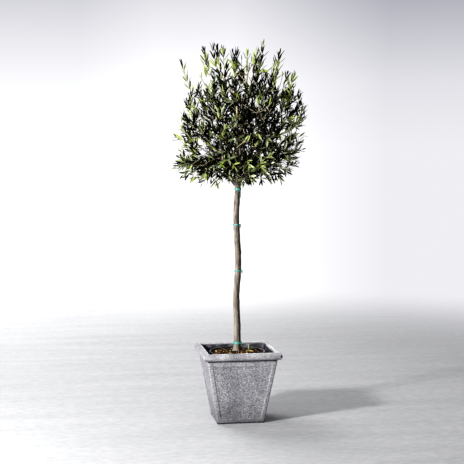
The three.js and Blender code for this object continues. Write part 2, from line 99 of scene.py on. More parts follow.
SOIL_EDGE_Z, SOIL_CROWN_Z, SOIL_R, SOIL_PAD_R = 0.289, 0.298, 0.113, 0.025
SOIL_FALL = 1.4  # the power of the surface's fall from its pad to its edge
SOIL_LUMPS = ((0.0025, 60, 0), (0.0015, 190, 3))  # each layer's rise, grain and layer of noise
CHIPS = 760
CHIP_LENGTH, CHIP_THICK, CHIP_LIFT = (0.006, 0.017), (0.0014, 0.0036), (-0.0015, 0.0022)
CHIP_SLIM = (0.35, 0.7)  # width by length
CHIP_TILT, CHIP_LEAN = 0.5, 0.4  # at most, in radians
CHIP_UNDER, CHIP_TOP = (0.82, 0.82, 1), (0.86, 0.86, 1)  # both faces, by the outline between them
CHIP_SEED = 7
SEEDLING = {"across": 0.048, "height": 0.030, "span": 0.009, "stem_r": 0.0009, "leaf_half": 0.0022}

# ---------------------------------------------------------------- trunk and crown

TRUNK_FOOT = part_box("trunk")[0].z
TRUNK_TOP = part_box("trunk")[1].z
TRUNK_FOOT_R, TRUNK_TOP_R, FLARE_R, FLARE_RISE = 0.0147, 0.0119, 0.0055, 0.015
KNOT_R, KNOT_EVERY = 0.0009, 0.107
# The trunk's slight alternate bends: how far its centre lies off the upright, at each height.
TRUNK_BENDS = [
    (-0.0010, 0, 0.298), (0.0013, 0.002, 0.345), (-0.0004, 0.003, 0.445), (-0.0039, -0.001, 0.542),
    (0.0039, -0.003, 0.680), (-0.0035, 0.002, 0.880), (0.0030, 0.001, 1.008), (0.0040, 0, 1.085),
]
# The bark's relief: each noise's grain round and along the limb, and how much it raises the bark.
RIDGE, FISSURE, LUMP = (2.2, 22, 0.9), (5.5, 55, 0.55), (1.2, 38, 3.75)
LUMP_FLOOR = 0.25  # only what the lumps' noise has above this shows
TRUNK_SIDES, TRUNK_RELIEF, TRUNK_SEED = 44, 0.045, 3.1
BOUGH_SIDES, BOUGH_RELIEF, BOUGH_SEED, BOUGH_STEP = 18, 0.05, 7.7, 0.0035
# A bough's swollen foot: how much it adds to thick and thin boughs, and how soon it fades.
COLLAR = {"thick": 0.30, "thin": 0.22, "thick_from": 0.006, "fade": 0.016}
TIE_WIDTH, TIE_THICK, TIE_SIDES = 0.0095, 0.0010, 40
TIE_SLACK, TIE_LAYER = 1.03, 0.0006  # by the stem's radius, and for each turn of tape
TIE_WAVE, TIE_WAVES, TIE_TILT_R = 0.0003, 5, 0.014
TIE_KNOT = ((-0.0050, -0.0035, 0), (-0.0018, 0.0010, 0.0022), (0.0018, -0.0008, 0.0026),
            (0.0052, 0.0040, 0.0004))  # aside, up and out
TIE_ENDS = {"loose": ((0.2, 0.037, 0.006), (-1, 0.012, 0.004)),  # way aside, length, width
            "short": ((1, 0.014, 0.0045), (-1, 0.011, 0.004))}

CROWN = {
    "middle": 1.205, "radius": 0.290, "rise": 0.380, "drop": 0.203, "top_power": 2.3,
    "low_power": 4.6, "lean": 0.026, "plumb_z": 1.130, "swing": 0.640,
}
WHORLS = {
    "shoulder": {"count": 4, "turn": 160, "z": 1.396, "out": 0.146, "root": "trunk",
                 "leave": 42, "end": 74},
    "skirt": {"count": 5, "turn": 126, "z": 1.102, "out": 0.172, "root": "shoulder", "at": 0.14,
              "leave": 4, "end": 12},
    "waist": {"count": 5, "turn": 162, "z": 1.244, "out": 0.190, "root": "shoulder", "at": 0.4,
              "leave": 28, "end": 46},
    "top": {"count": 3, "turn": 40, "z": 1.530, "out": 0.088, "root": "leader", "at": 0.66,
            "leave": 62, "end": 80},
}
LEADER = {"turn": 100, "z": 1.400, "out": 0.006, "leave": 84, "end": 88}
BOUGH_ROOT_R = {"trunk": 0.0085, "shoulder": 0.0056, "leader": 0.0052}
BOUGH_TAPER, BOUGH_ROOT_LOW, BOUGH_ROOT_HIGH, BOUGH_APART = 0.62, 1.012, 1.042, 0.05
BOUGH_LEAST, BOUGH_MOST, BOUGH_INTO = 0.4, 0.72, 0.012
LONG_SHOOTS = [  # across the front view, away from the camera, height of the tip
    (-0.248, 0.000, 1.572), (-0.148, 0.020, 1.628), (-0.109, -0.030, 1.641), (-0.089, 0.040, 1.641),
    (-0.063, -0.020, 1.628), (-0.004, 0.030, 1.624), (0.043, -0.040, 1.615), (0.087, 0.020, 1.628),
    (0.113, -0.010, 1.649), (0.165, 0.030, 1.581), (0.187, -0.020, 1.611), (0.222, 0.020, 1.524),
    (0.252, -0.010, 1.520), (0.312, 0.010, 1.182), (-0.282, 0.010, 1.106), (-0.262, -0.010, 1.090),
    (0.020, 0.150, 1.600), (-0.080, 0.120, 1.612), (0.100, 0.110, 1.604), (-0.020, -0.130, 1.604),
    (0.070, -0.150, 1.585), (-0.130, -0.130, 1.560), (0.150, -0.130, 1.545), (-0.110, 0.190, 1.540),
    (0.130, 0.190, 1.530), (0.240, 0.130, 1.190), (-0.040, -0.282, 1.130), (-0.060, 0.285, 1.180),
]
HEADING = {"low": 1.075, "span": 0.600, "out": 0.95, "sway": 0.42, "rise": 2.3, "droop": 0.68,
           "upright": 0.65}
STEM_TIP_R = 0.0016
# A shoot keeps to its own straight line: each metre aside counts as this many more metres away.
SHOOT = {"least": 0.035, "long": 0.13, "most": 0.30, "aside": 1.2, "bow": 0.36,
         "root_r": 0.0028, "tip_r": 0.0010, "joints": (0.3, 0.55, 0.8)}
LEAFLESS = {"short": 0.12, "long": 0.35, "from": 0.12}  # the bare share of a shoot, by its length
LEAF = {"length": 0.046, "width": 0.0101, "thick": 0.0005, "lean_low": 56, "lean_high": 31,
        "lean_from": 1.105, "lean_span": 0.38, "pitch": 0.0165, "end_sizes": (0.62, 0.82, 0.95)}
TIP_SPACE = {"shell": 0.042, "heart": 0.048, "top": 0.068, "fringe": 0.051}
TOP_Z, FRINGE_Z = 1.47, 1.085  # above and below these the shoots stand further apart
# Openings through the crown that show the sky: pixel across and down, and half width and height.
SKY_GAPS = [
    (201, 144, 5, 6), (203, 154, 7, 6), (212, 142, 4, 4), (283, 165, 6, 6), (262, 176, 5, 4),
    (196, 176, 6, 4), (222, 64, 4, 9), (242, 60, 4, 9), (252, 72, 4, 8), (270, 66, 4, 9),
    (282, 82, 4, 9), (208, 80, 3, 7), (228, 183, 7, 4), (285, 116, 4, 4), (293, 130, 4, 4),
    (284, 132, 3, 4), (292, 148, 4, 4), (266, 156, 4, 3), (185, 152, 4, 5), (181, 140, 3, 4),
]
GAP_CLEARED = 0.85  # the share of the leaves that an opening takes away
REACH = {"clipped": 1.20, "long": 4.0}  # the crown's level that leaves may reach
TIPS = {"throws": 9000, "spread": 0.26, "highest_level": 1.08, "lowest_level": 0.04, "border": -0.004}
HEART, SHELL = 0.73, 0.87  # shares of the way out: twigs and leaves painted dark for shade, then lit ones painted light
SKIRT_Z, SKIRT_SHELL = 1.17, 0.78  # under this height the lit leaves start further in
PALE_TWIG_EVERY = 4  # one in this many twigs inside the crown keeps the pale bark; the rest are painted dark for shade
BARE_BORDER = -0.010  # how far a leaf may stray into the next mass's space
SEED = 41
# The odds of each tint of LEAF_TINTS at the crown's foot, and what its full height adds to them.
TINT_ODDS = {
    "heart": ((0.92, 0.05, 0, 0.03, 0), (0, 0, 0, 0, 0)),
    "fringe": ((0.38, 0.18, 0.12, 0.32, 0), (0, 0, 0, 0, 0)),
    "shaded": ((0.54, 0.19, 0.10, 0.24, 0), (0, 0, 0, -0.20, 0.16)),
    "outer": ((0.27, 0.22, 0.21, 0.34, 0), (0, 0, 0, -0.32, 0.34)),
}
TINT_FOOT_Z, TINT_SPAN = 1.03, 0.6
TOP_DEEP = 0.90  # what the square of the height adds to the outer sprays' odds of the deep tint, which is painted shade

# ---------------------------------------------------------------- meshes and pieces


def circle(count):
    """Angles evenly round a full turn."""
    return np.arange(count) * 2 * pi / count


def round_ring(r, z):
    return [(r * cos(a), r * sin(a), z) for a in circle(ROUND)]


def unit(v):
    return v / norm(v)


def frames_along(points):
    """Unit tangents and two cross directions, turning as little as they can, along a line."""
    points = np.asarray(points)
    tangents = np.gradient(points, axis=0)
    tangents /= norm(tangents, axis=1)[:, None]
    side = np.array((1.0, 0, 0)) if abs(tangents[0][0]) < 0.9 else np.array((0, 1.0, 0))
    sides = []
    for along in tangents:
        side = unit(side - along * side.dot(along))
        sides.append(side)
    sides = np.array(sides)
    return tangents, sides, np.cross(tangents, sides)


class Shape:
    """Points and faces gathered for one joined piece, with a material number for each face."""

    def __init__(self, rings=None, kind=0):
        self.points, self.faces, self.kinds, self.count = [], [], [], 0
        if rings is not None:
            self.add_rings(rings, kind)

    def add(self, points, faces, kind=0):
        points = np.asarray(points, float).reshape(-1, 3)
        self.points.append(points)
        self.faces += [tuple(i + self.count for i in face) for face in faces]
        self.kinds += [kind] * len(faces)
        self.count += len(points)

    def add_rings(self, rings, kind=0, capped=True):
        """A closed skin over rings of equal count. Its kind is one number, or one for each band."""
        rings = np.asarray(rings, float)
        rows, n = rings.shape[:2]
        faces = [(r * n + i, r * n + (i + 1) % n, (r + 1) * n + (i + 1) % n, (r + 1) * n + i)
                 for r in range(rows - 1) for i in range(n)]
        if capped:
            faces += [tuple(range(n))[::-1], tuple((rows - 1) * n + i for i in range(n))]
        self.add(rings.reshape(-1, 3), faces, 0 if isinstance(kind, list) else kind)
        if isinstance(kind, list):
            kinds = [k for k in kind for _ in range(n)] + ([kind[0], kind[-1]] if capped else [])
            self.kinds[-len(faces):] = kinds

    def add_tube(self, line, radii, sides, kind=0):
        """A tube along a line, whose radii are one number a point or one a point and side."""
        line, radii = np.asarray(line), np.asarray(radii, float)
        _, side, across = frames_along(line)
        angles = circle(sides)
        spread = radii[:, None] if radii.ndim == 1 else radii
        rings = line[:, None, :] + (spread * np.cos(angles))[:, :, None] * side[:, None, :] \
            + (spread * np.sin(angles))[:, :, None] * across[:, None, :]
        self.add_rings(rings, kind)

    def make(self, name, materials, smooth_angle=None):
        mesh = bpy.data.meshes.new(name)
        mesh.from_pydata(np.concatenate(self.points).tolist(), [], self.faces)
        for material in materials:
            mesh.materials.append(material)
        mesh.polygons.foreach_set("material_index", self.kinds)
        return finish_mesh(name, mesh, smooth_angle)


def finish_mesh(name, mesh, smooth_angle=None):
    piece = bpy.data.objects.new(name, mesh)
    bpy.context.scene.collection.objects.link(piece)
    if smooth_angle is not None:
        mesh.shade_smooth()
        mesh.set_sharp_from_angle(angle=radians(smooth_angle))
    mesh.update()
    return piece


def hand_over(piece, slot, *nodes):
    """The piece rides on the part and takes the place of the nodes given."""
    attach(piece, "root")
    if nodes:
        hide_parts(*nodes)
    return piece


# ---------------------------------------------------------------- materials


# The mix node's colour sockets, whose names it gives to other sockets too.
MIX_SHARE, MIX_A, MIX_B, MIX_RESULT = 0, 6, 7, 2
EDGE_DOTS = (0.90, 0.995)  # between the true and the bevelled normal: full edge tone, then none


def add_node(tree, kind, output, inputs, **settings):
    """Adds a node, sets or links its inputs, and returns the output named."""
    node = tree.nodes.new("ShaderNode" + kind)
    for key, value in settings.items():
        setattr(node, key, value)
    for key, value in inputs.items():
        if isinstance(value, bpy.types.NodeSocket):
            tree.links.new(value, node.inputs[key])
        else:
            node.inputs[key].default_value = value
    return node.outputs[output]


def add_ramp(tree, value, stops):
    """The stops are (place, grey or colour), from low to high."""
    node = tree.nodes.new("ShaderNodeValToRGB")
    elements = node.color_ramp.elements
    while len(elements) < len(stops):
        elements.new(0.5)
    for element, (place, colour) in zip(elements, stops):
        element.position = place
        element.color = (*colour, 1) if isinstance(colour, tuple) else (colour,) * 3 + (1,)
    tree.links.new(value, node.inputs["Fac"])
    return node.outputs["Color"]


class Finish:
    """A node material: most methods add nodes and return an output."""

    def __init__(self, name, roughness, specular):
        self.material = bpy.data.materials.new(name)
        self.material.use_nodes = True
        self.tree = self.material.node_tree
        self.shader = self.tree.nodes["Principled BSDF"]
        self.shader.inputs["Roughness"].default_value = roughness
        self.shader.inputs["Specular IOR Level"].default_value = specular
        self.place = self.add("TexCoord", "Object", {})

    def add(self, kind, output, inputs, **settings):
        return add_node(self.tree, kind, output, inputs, **settings)

    def noise(self, scale, detail=3.0, stretch=None, roughness=0.55):
        place = self.place
        if stretch:
            place = self.add("Mapping", "Vector", {"Vector": place, "Scale": stretch})
        return self.add("TexNoise", "Fac", {"Vector": place, "Scale": scale, "Detail": detail,
                                            "Roughness": roughness})

    def ramp(self, value, *stops):
        return add_ramp(self.tree, value, stops)

    def mix(self, share, a, b, blend="MIX"):
        """Colours a and b mixed; each is a colour or an output."""
        a, b = ((*c, 1) if isinstance(c, tuple) else c for c in (a, b))
        return self.add("Mix", MIX_RESULT, {MIX_SHARE: share, MIX_A: a, MIX_B: b},
                        data_type="RGBA", blend_type=blend)

    def times(self, a, b):
        return self.mix(1.0, a, b, "MULTIPLY")

    def height(self, low, high):
        """0 at and under the low height, and 1 at and over the high one."""
        z = self.add("SeparateXYZ", "Z", {"Vector": self.place})
        return self.add("MapRange", "Result", {"Value": z, "From Min": low, "From Max": high})

    def hollows(self, distance):
        """1 in the open and less in corners and grooves."""
        return self.add("AmbientOcclusion", "AO", {"Distance": distance}, samples=8)

    def edges(self, radius):
        """0 on flat ground and 1 on edges sharper than the radius."""
        rounded = self.add("Bevel", "Normal", {"Radius": radius})
        true = self.add("NewGeometry", "Normal", {})
        dot = self.add("VectorMath", "Value", {0: rounded, 1: true}, operation="DOT_PRODUCT")
        low, high = EDGE_DOTS
        return self.add("MapRange", "Result", {"Value": dot, "From Min": low, "From Max": high,
                                               "To Min": 1, "To Max": 0})

    def colour(self, value):
        if isinstance(value, tuple):
            self.shader.inputs["Base Color"].default_value = (*value, 1)
        else:
            self.tree.links.new(value, self.shader.inputs["Base Color"])

    def roughness(self, value):
        self.tree.links.new(value, self.shader.inputs["Roughness"])

    def bump(self, height, depth, strength):
        """Adds relief to what relief there is, and returns the material."""
        inputs = {"Height": height, "Distance": depth, "Strength": strength}
        normal = self.shader.inputs["Normal"]
        if normal.is_linked:
            inputs["Normal"] = normal.links[0].from_socket
        self.tree.links.new(self.add("Bump", "Normal", inputs), normal)
        return self.material


def zinc_finish(name, dark, middle, light, edge_tone):
    f = Finish(name, roughness=0.6, specular=0.4)
    blotch = f.ramp(f.noise(165, 4, roughness=0.64), (0.36, dark), (0.50, middle), (0.64, light))
    flecks = f.ramp(f.noise(260, 2), (0.62, 0.0), (0.70, 0.70))
    speckled = f.mix(flecks, blotch, (0.60, 0.595, 0.605))
    cast = f.ramp(f.noise(14, 4, (1, 1, 0.5)), (0.36, (0.72, 0.72, 0.74)), (0.62, (1.06, 1.06, 1.06)))
    # Darker towards the bottom.
    darker_low = f.ramp(f.height(0.0, 0.15), (0.0, 0.60), (0.9, 1.0))
    # Painted shade: darker in corners and grooves, by ambient occlusion.
    painted_hollow_shade = f.ramp(f.hollows(0.014), (0.45, 0.50), (0.85, 1.0))
    zinc_with_painted_shade = f.times(f.times(f.times(speckled, cast), darker_low), painted_hollow_shade)
    # Sharp edges take the edge tone: where it is lighter, rubbed wear and painted highlight; where it is
    # darker, painted shade.
    f.colour(f.mix(f.edges(0.0028), zinc_with_painted_shade, edge_tone))
    f.roughness(f.ramp(f.noise(60, 3), (0.3, 0.42), (0.7, 0.66)))
    f.bump(f.noise(150, 5, roughness=0.6), 0.0012, 0.6)
    return f.bump(f.noise(30, 2), 0.002, 0.4)


def mottled(name, roughness, specular, colours, relief, gloss=None):
    """A finish from noises: each has its settings, then a ramp's stops or a relief's depth and strength."""
    f = Finish(name, roughness, specular)
    grain, *stops = colours
    f.colour(f.ramp(f.noise(*grain), *stops))
    if gloss:
        grain, *stops = gloss
        f.roughness(f.ramp(f.noise(*grain), *stops))
    grain, depth, strength = relief
    return f.bump(f.noise(*grain), depth, strength)


# What mottled is given for each of these finishes.
MOTTLED = {
    # Painted shade: the planter's inner wall near-black, with paler blotches.
    "painted_shade_inner_wall": (0.6, 0.5, (
        (26, 5, (1, 1, 2.5)), (0.36, (0.005, 0.005, 0.006)), (0.50, (0.024, 0.023, 0.027)),
        (0.66, (0.110, 0.106, 0.122))), ((130, 4), 0.0010, 0.5)),
    # Painted shade: the dark of the groove under the rim, of the band at the foot and of the break in the
    # rim.
    "painted_shade_dark": (0.95, 0.1, (
        (60, 4), (0.35, (0.010, 0.009, 0.008)), (0.70, (0.075, 0.066, 0.060))),
        ((200, 4), 0.0008, 0.5)),
    "black_pot_plastic": (0.6, 0.25, (
        (70, 4), (0.3, (0.008, 0.008, 0.009)), (0.75, (0.020, 0.018, 0.016))),
        ((420, 3), 0.0003, 0.4), ((160, 3), (0.3, 0.52), (0.7, 0.75))),
    "damp_compost": (0.95, 0.2, (
        (260, 6, None, 0.7), (0.35, (0.010, 0.006, 0.004)), (0.55, (0.035, 0.021, 0.012)),
        (0.75, (0.085, 0.052, 0.028))), ((330, 6, None, 0.7), 0.003, 0.9)),
    "seedling_green": (0.5, 0.4, (
        (300, 2), (0.3, (0.35, 0.46, 0.20)), (0.7, (0.52, 0.62, 0.34))), ((700, 2), 0.0002, 0.4)),
    "green_tie_tape": (0.42, 0.5, (
        (90, 3), (0.35, (0.045, 0.165, 0.140)), (0.65, (0.085, 0.245, 0.210))),
        ((300, 3, (1, 1, 3)), 0.0005, 0.6), ((240, 2), (0.3, 0.34), (0.7, 0.55))),
}


def finish(name):
    return mottled(name, *MOTTLED[name])


# The bark chips' dark and light colour, and the share of the chips that have them.
CHIP_KINDS = {
    "chip_dark": ((0.004, 0.0025, 0.0015), (0.018, 0.010, 0.006), 0.58),
    "chip_brown": ((0.040, 0.017, 0.007), (0.130, 0.058, 0.020), 0.25),
    "chip_orange": ((0.170, 0.070, 0.016), (0.360, 0.180, 0.045), 0.12),
    "chip_pale": ((0.480, 0.330, 0.120), (0.780, 0.620, 0.300), 0.05),
}
# The twigs' dark and light colour. The second bark is painted dark for the shade inside the crown.
TWIG_BARKS = {
    "olive_twig_bark": ((0.230, 0.190, 0.120), (0.480, 0.400, 0.270)),
    "painted_shade_twig_bark": ((0.030, 0.024, 0.016), (0.130, 0.102, 0.068)),
}


def chip_finish(name):
    dark, light, _ = CHIP_KINDS[name]
    return mottled(name, 0.85, 0.25, ((330, 5, (1, 0.3, 1)), (0.32, dark), (0.68, light)),
                   ((500, 4), 0.0007, 0.7))


def twig_finish(name):
    dark, light = TWIG_BARKS[name]
    return mottled(name, 0.75, 0.3, ((60, 4, (1, 1, 0.5)), (0.35, dark), (0.65, light)),
                   ((700, 3), 0.0003, 0.5))


def bark_finish():
    f = Finish("young_olive_bark", roughness=0.82, specular=0.25)
    streaks = f.noise(150, 5, (1, 1, 0.16), 0.6)
    base = f.ramp(streaks, (0.30, (0.080, 0.068, 0.058)), (0.50, (0.195, 0.171, 0.148)),
                  (0.70, (0.300, 0.275, 0.243)))
    patches = f.ramp(f.noise(26, 3, (1, 1, 0.5)), (0.38, (0.80, 0.76, 0.70)), (0.62, (1, 1, 1)))
    f.colour(f.times(base, patches))
    f.bump(streaks, 0.0010, 0.8)
    return f.bump(f.noise(900, 4), 0.0003, 0.5)


def leaf_finish(name, colour, specular, roughness, grain):
    """One plain tint. Its fine grain is only relief and gloss, which need no place on the leaf."""
    f = Finish(name, roughness, specular)
    f.colour(colour)
    f.roughness(f.ramp(f.noise(220, 2), (0.3, roughness - 0.06), (0.7, roughness + 0.10)))
    return f.bump(f.noise(grain, 2), 0.0003, 0.35)


LEAF_SHINE, DEEP_SHINE = 0.32, 0.04  # the deep tint stands for shade, so it hardly shines
# The tints dealt out by spray: the leaf's upper side, its pale underside. The deep tint is painted shade and
# the lit tint painted light.
LEAF_TINTS = {
    "deep": ((0.0026, 0.0040, 0.0010), (0.0070, 0.0095, 0.0036)),
    "olive": ((0.085, 0.114, 0.026), (0.210, 0.250, 0.098)),
    "lit": ((0.185, 0.219, 0.066), (0.268, 0.305, 0.138)),
    "silver": ((0.159, 0.186, 0.096), (0.333, 0.365, 0.248)),
    "fresh": ((0.120, 0.160, 0.018), (0.235, 0.285, 0.060)),
}

# ---------------------------------------------------------------- planter


def square_ring(half, z, corner, turns=5):
    """A level square with rounded corners, anticlockwise from above."""
    ring = []
    for quarter in range(4):
        mid = radians(90 * quarter + 45)
        reach = sqrt(2) * (half - corner)
        for k in range(turns):
            a = radians(90 * quarter + 90 * k / (turns - 1))
            ring.append((reach * cos(mid) + corner * cos(a),
                         reach * sin(mid) + corner * sin(a), z))
    return ring


BORDER, INNER, PANEL, PAINTED_SHADE, RIM = range(5)  # the shell's materials
BODY_STEPS, ROLL_STEPS, EASE_STEPS = 8, 24, 6


def shell_finishes():
    return [
        # The border's and the rim's edge tones are lighter, rubbed wear and painted highlight; the panel's is
        # darker, painted shade along its recess edges.
        zinc_finish("zinc_border", (0.120, 0.117, 0.126), (0.210, 0.206, 0.217),
                    (0.320, 0.315, 0.328), (0.300, 0.296, 0.306)),
        finish("painted_shade_inner_wall"),
        zinc_finish("zinc_panel", (0.100, 0.097, 0.107), (0.198, 0.194, 0.206),
                    (0.330, 0.325, 0.339), (0.160, 0.157, 0.166)),
        finish("painted_shade_dark"),
        # The rim's zinc is painted lighter than the walls' for the light the rolled rim catches.
        zinc_finish("zinc_rim", (0.165, 0.162, 0.171), (0.263, 0.260, 0.269),
                    (0.365, 0.361, 0.371), (0.350, 0.346, 0.356)),
    ]


def planter_piece():
    roll_z = PLANTER_TOP - ROLL_R
    neck_z = roll_z - ROLL_R - NECK_DROP
    face_at = lambda z: FOOT_HALF + (NECK_HALF - FOOT_HALF) * z / neck_z
    heights = (0, PAINTED_FOOT_SHADE, *np.linspace(0.03, neck_z, BODY_STEPS))
    rings = [square_ring(face_at(z), z, BODY_CORNER) for z in heights]
    rings.append(square_ring(NECK_HALF - GROOVE, neck_z, BODY_CORNER))
    rings.append(square_ring(NECK_HALF - GROOVE, roll_z - ROLL_R, RIM_CORNER))
    for k in range(ROLL_STEPS + 1):
        a = radians(-90 + 180 * k / ROLL_STEPS)
        rings.append(square_ring(ROLL_MID_HALF + ROLL_R * cos(a), roll_z + ROLL_R * sin(a),
                                 RIM_CORNER))
    for k in range(1, EASE_STEPS + 1):
        a = radians(90 * k / EASE_STEPS)
        rings.append(square_ring(MOUTH_HALF + MOUTH_EASE * (1 - sin(a)),
                                 PLANTER_TOP - MOUTH_EASE * (1 - cos(a)), RIM_CORNER))
    rings.append(square_ring(MOUTH_HALF - 0.0004, PLANTER_TOP - UNSHADED_LIP, RIM_CORNER))
    rings.append(square_ring(THROAT_HALF, roll_z - ROLL_R, BODY_CORNER))
    rings.append(square_ring(FLOOR_HALF, FLOOR_Z, BODY_CORNER))
    # The foot band and the groove under the rim take the dark painted shade, and the inner wall below the lip
    # the near-black painted shade.
    kinds = [PAINTED_SHADE] + [BORDER] * BODY_STEPS + [PAINTED_SHADE] * 3 + [RIM] * (ROLL_STEPS + EASE_STEPS) \
        + [BORDER] + [INNER] * 2
    piece = Shape(rings, kinds).make("planter_shell", shell_finishes())
    for k, cutter in enumerate([*side_cutters(face_at), broken_corner()]):
        tool = cutter.make(f"cutter_{k}", piece.data.materials)
        flip_outwards(tool)
        cut = piece.modifiers.new("cut", "BOOLEAN")
        cut.object, cut.operation, cut.solver = tool, "DIFFERENCE", "EXACT"
        bake_modifiers(piece)
        bpy.data.objects.remove(tool)
    bevel = piece.modifiers.new("bevel", "BEVEL")
    bevel.width, bevel.segments, bevel.limit_method = EDGE_BEVEL, 2, "ANGLE"
    bevel.angle_limit = radians(25)
    bake_modifiers(piece)
    piece.data.shade_smooth()
    piece.data.set_sharp_from_angle(angle=radians(32))
    return hand_over(piece, "planter", "planter")


def side_cutters(face_at):
    """What sinks each side's panel, and what clears the body between each two feet."""
    cutters = []
    for quarter in range(4):
        def turned(points):
            turn = radians(90 * quarter)
            c, s = cos(turn), sin(turn)
            return [(x * c - y * s, x * s + y * c, z) for x, y, z in points]

        def panel(out, inset):
            low, high = PANEL_LOW + inset, PANEL_HIGH - inset
            return turned([(side * (face_at(z) - PANEL_BORDER - inset), -face_at(z) - out, z)
                           for side, z in ((-1, low), (1, low), (1, high), (-1, high))])

        cutters.append(Shape([panel(PANEL_RECESS, -PANEL_DRAFT), panel(-PANEL_RECESS, PANEL_DRAFT)], PANEL))
        half = FOOT_HALF - FOOT_WIDTH
        corners = [(-half, -NOTCH_DEPTH), (half, -NOTCH_DEPTH), (half, NOTCH_DEPTH), (-half, NOTCH_DEPTH)]
        cutters.append(Shape([turned([(x, y - FOOT_HALF, z) for x, y in corners])
                              for z in (-NOTCH_HEIGHT, NOTCH_HEIGHT)]))
    return cutters


def broken_corner():
    """An uneven lump that bites the small break out of the rim's front right corner, and lines the break with
    the dark painted shade.
    """
    centre = np.array(BREAK["centre"])
    rings = []
    for polar in pi * np.arange(1, BREAK["rings"]) / BREAK["rings"]:
        ring = []
        for a in circle(BREAK["sides"]):
            way = np.array((sin(polar) * cos(a), sin(polar) * sin(a), -cos(polar)))
            uneven = 1 + BREAK["uneven"] * noise.noise(Vector(way * BREAK["grain"]))
            ring.append(centre + way * BREAK["radius"] * uneven)
        rings.append(ring)
    return Shape(rings, PAINTED_SHADE)


def flip_outwards(piece):
    """Turns a closed mesh's faces to look outwards."""
    bm = bmesh.new()
    bm.from_mesh(piece.data)
    bmesh.ops.recalc_face_normals(bm, faces=bm.faces)
    bm.to_mesh(piece.data)
    bm.free()


def bake_modifiers(piece):
    """The piece's mesh becomes what its modifiers make of it."""
    made = bpy.data.meshes.new_from_object(piece.evaluated_get(bpy.context.evaluated_depsgraph_get()))
    piece.modifiers.clear()
    piece.data = made


# ---------------------------------------------------------------- nursery pot, soil, seedling


def nursery_pot_piece():
    lip_z = LINER_TOP - LINER_LIP_DEPTH
    inside, edge = LINER_R - LINER_WALL, LINER_LIP_ROUND
    lip = [(LINER_LIP_R - edge + edge * cos(a), LINER_TOP - edge + edge * sin(a))
           for a in np.linspace(0, pi / 2, 5)]
    profile = [(LINER_AXIS_R, LINER_FOOT), (LINER_BOTTOM_R, LINER_FOOT), (LINER_R - 0.002, lip_z - 0.004),
               (LINER_R, lip_z), (LINER_LIP_R, lip_z), *lip,
               (inside + 0.001, LINER_TOP), (inside, LINER_TOP - 0.002),
               (LINER_BOTTOM_R - LINER_WALL, LINER_FOOT + LINER_WALL),
               (LINER_AXIS_R, LINER_FOOT + LINER_WALL)]
    plastic = finish("black_pot_plastic")
    piece = Shape([round_ring(r, z) for r, z in profile]).make("nursery_pot_shell", [plastic], 40)
    return hand_over(piece, "nursery_pot", "nursery_pot")


def soil_height(r):
    share = max(0.0, (r - SOIL_PAD_R) / (SOIL_R - SOIL_PAD_R))
    return SOIL_CROWN_Z + (SOIL_EDGE_Z - SOIL_CROWN_Z) * min(1.0, share) ** SOIL_FALL


def soil_lump(x, y):
    return sum(rise * noise.noise(Vector((x * grain, y * grain, layer))) for rise, grain, layer in SOIL_LUMPS)


def soil_piece():
    """The compost's lumpy top, and its side down to the pot's floor."""
    side_r = SOIL_R - 0.0012
    rings = [round_ring(LINER_BOTTOM_R - 0.003, LINER_FOOT + 0.003),
             round_ring(side_r, soil_height(side_r) - 0.006)]
    for r in np.linspace(side_r, 0.004, 34):
        level_ring = round_ring(r, soil_height(r) - 0.002)
        rings.append([(x, y, z + soil_lump(x, y)) for x, y, z in level_ring])
    compost = finish("damp_compost")
    return hand_over(Shape(rings).make("compost", [compost], smooth_angle=60), "soil", "soil")


def chips_piece():
    """Bark chips strewn over the compost: flat lumps with uneven outlines."""
    rng = np.random.default_rng(CHIP_SEED)
    shares = [share for _, _, share in CHIP_KINDS.values()]
    shape = Shape()
    for _ in range(CHIPS):
        r = (SOIL_R - 0.008) * sqrt(rng.uniform(0.03, 1))
        a = rng.uniform(0, 2 * pi)
        length = rng.uniform(*CHIP_LENGTH) * rng.uniform(0.7, 1)
        width, thick = length * rng.uniform(*CHIP_SLIM), rng.uniform(*CHIP_THICK)
        count = int(rng.integers(5, 8))
        turns = np.sort(rng.uniform(-0.3, 0.3, count) + circle(count))
        spread = rng.uniform(0.75, 1.0, count)
        outline = np.stack([np.cos(turns) * spread * length / 2, np.sin(turns) * spread * width / 2,
                            np.zeros(count)], axis=1)
        rings = np.array([outline * CHIP_UNDER - (0, 0, thick / 2), outline,
                          outline * CHIP_TOP + (0, 0, thick / 2)])
        turn = Matrix.Rotation(rng.uniform(0, 2 * pi), 3, "Z")
        turn = turn @ Matrix.Rotation(rng.uniform(-CHIP_TILT, CHIP_TILT), 3, "X")
        turn = turn @ Matrix.Rotation(rng.uniform(-CHIP_LEAN, CHIP_LEAN), 3, "Y")
        lift = rng.uniform(*CHIP_LIFT)
        place = np.array((r * cos(a), r * sin(a), soil_height(r) + lift))
        shape.add_rings(rings @ np.array(turn).T + place, int(rng.choice(len(shares), p=shares)))
    finishes = [chip_finish(name) for name in CHIP_KINDS]
    return hand_over(shape.make("bark_chips", finishes, smooth_angle=25), "soil")


def ribbon(line, half, lift):
    """Rings of a flat strip along a line: half is half its width, as a vector or one for each point."""
    halves = np.broadcast_to(half, np.shape(line))
    return [[p - h, p + h, p + h + lift, p - h + lift] for p, h in zip(line, halves)]


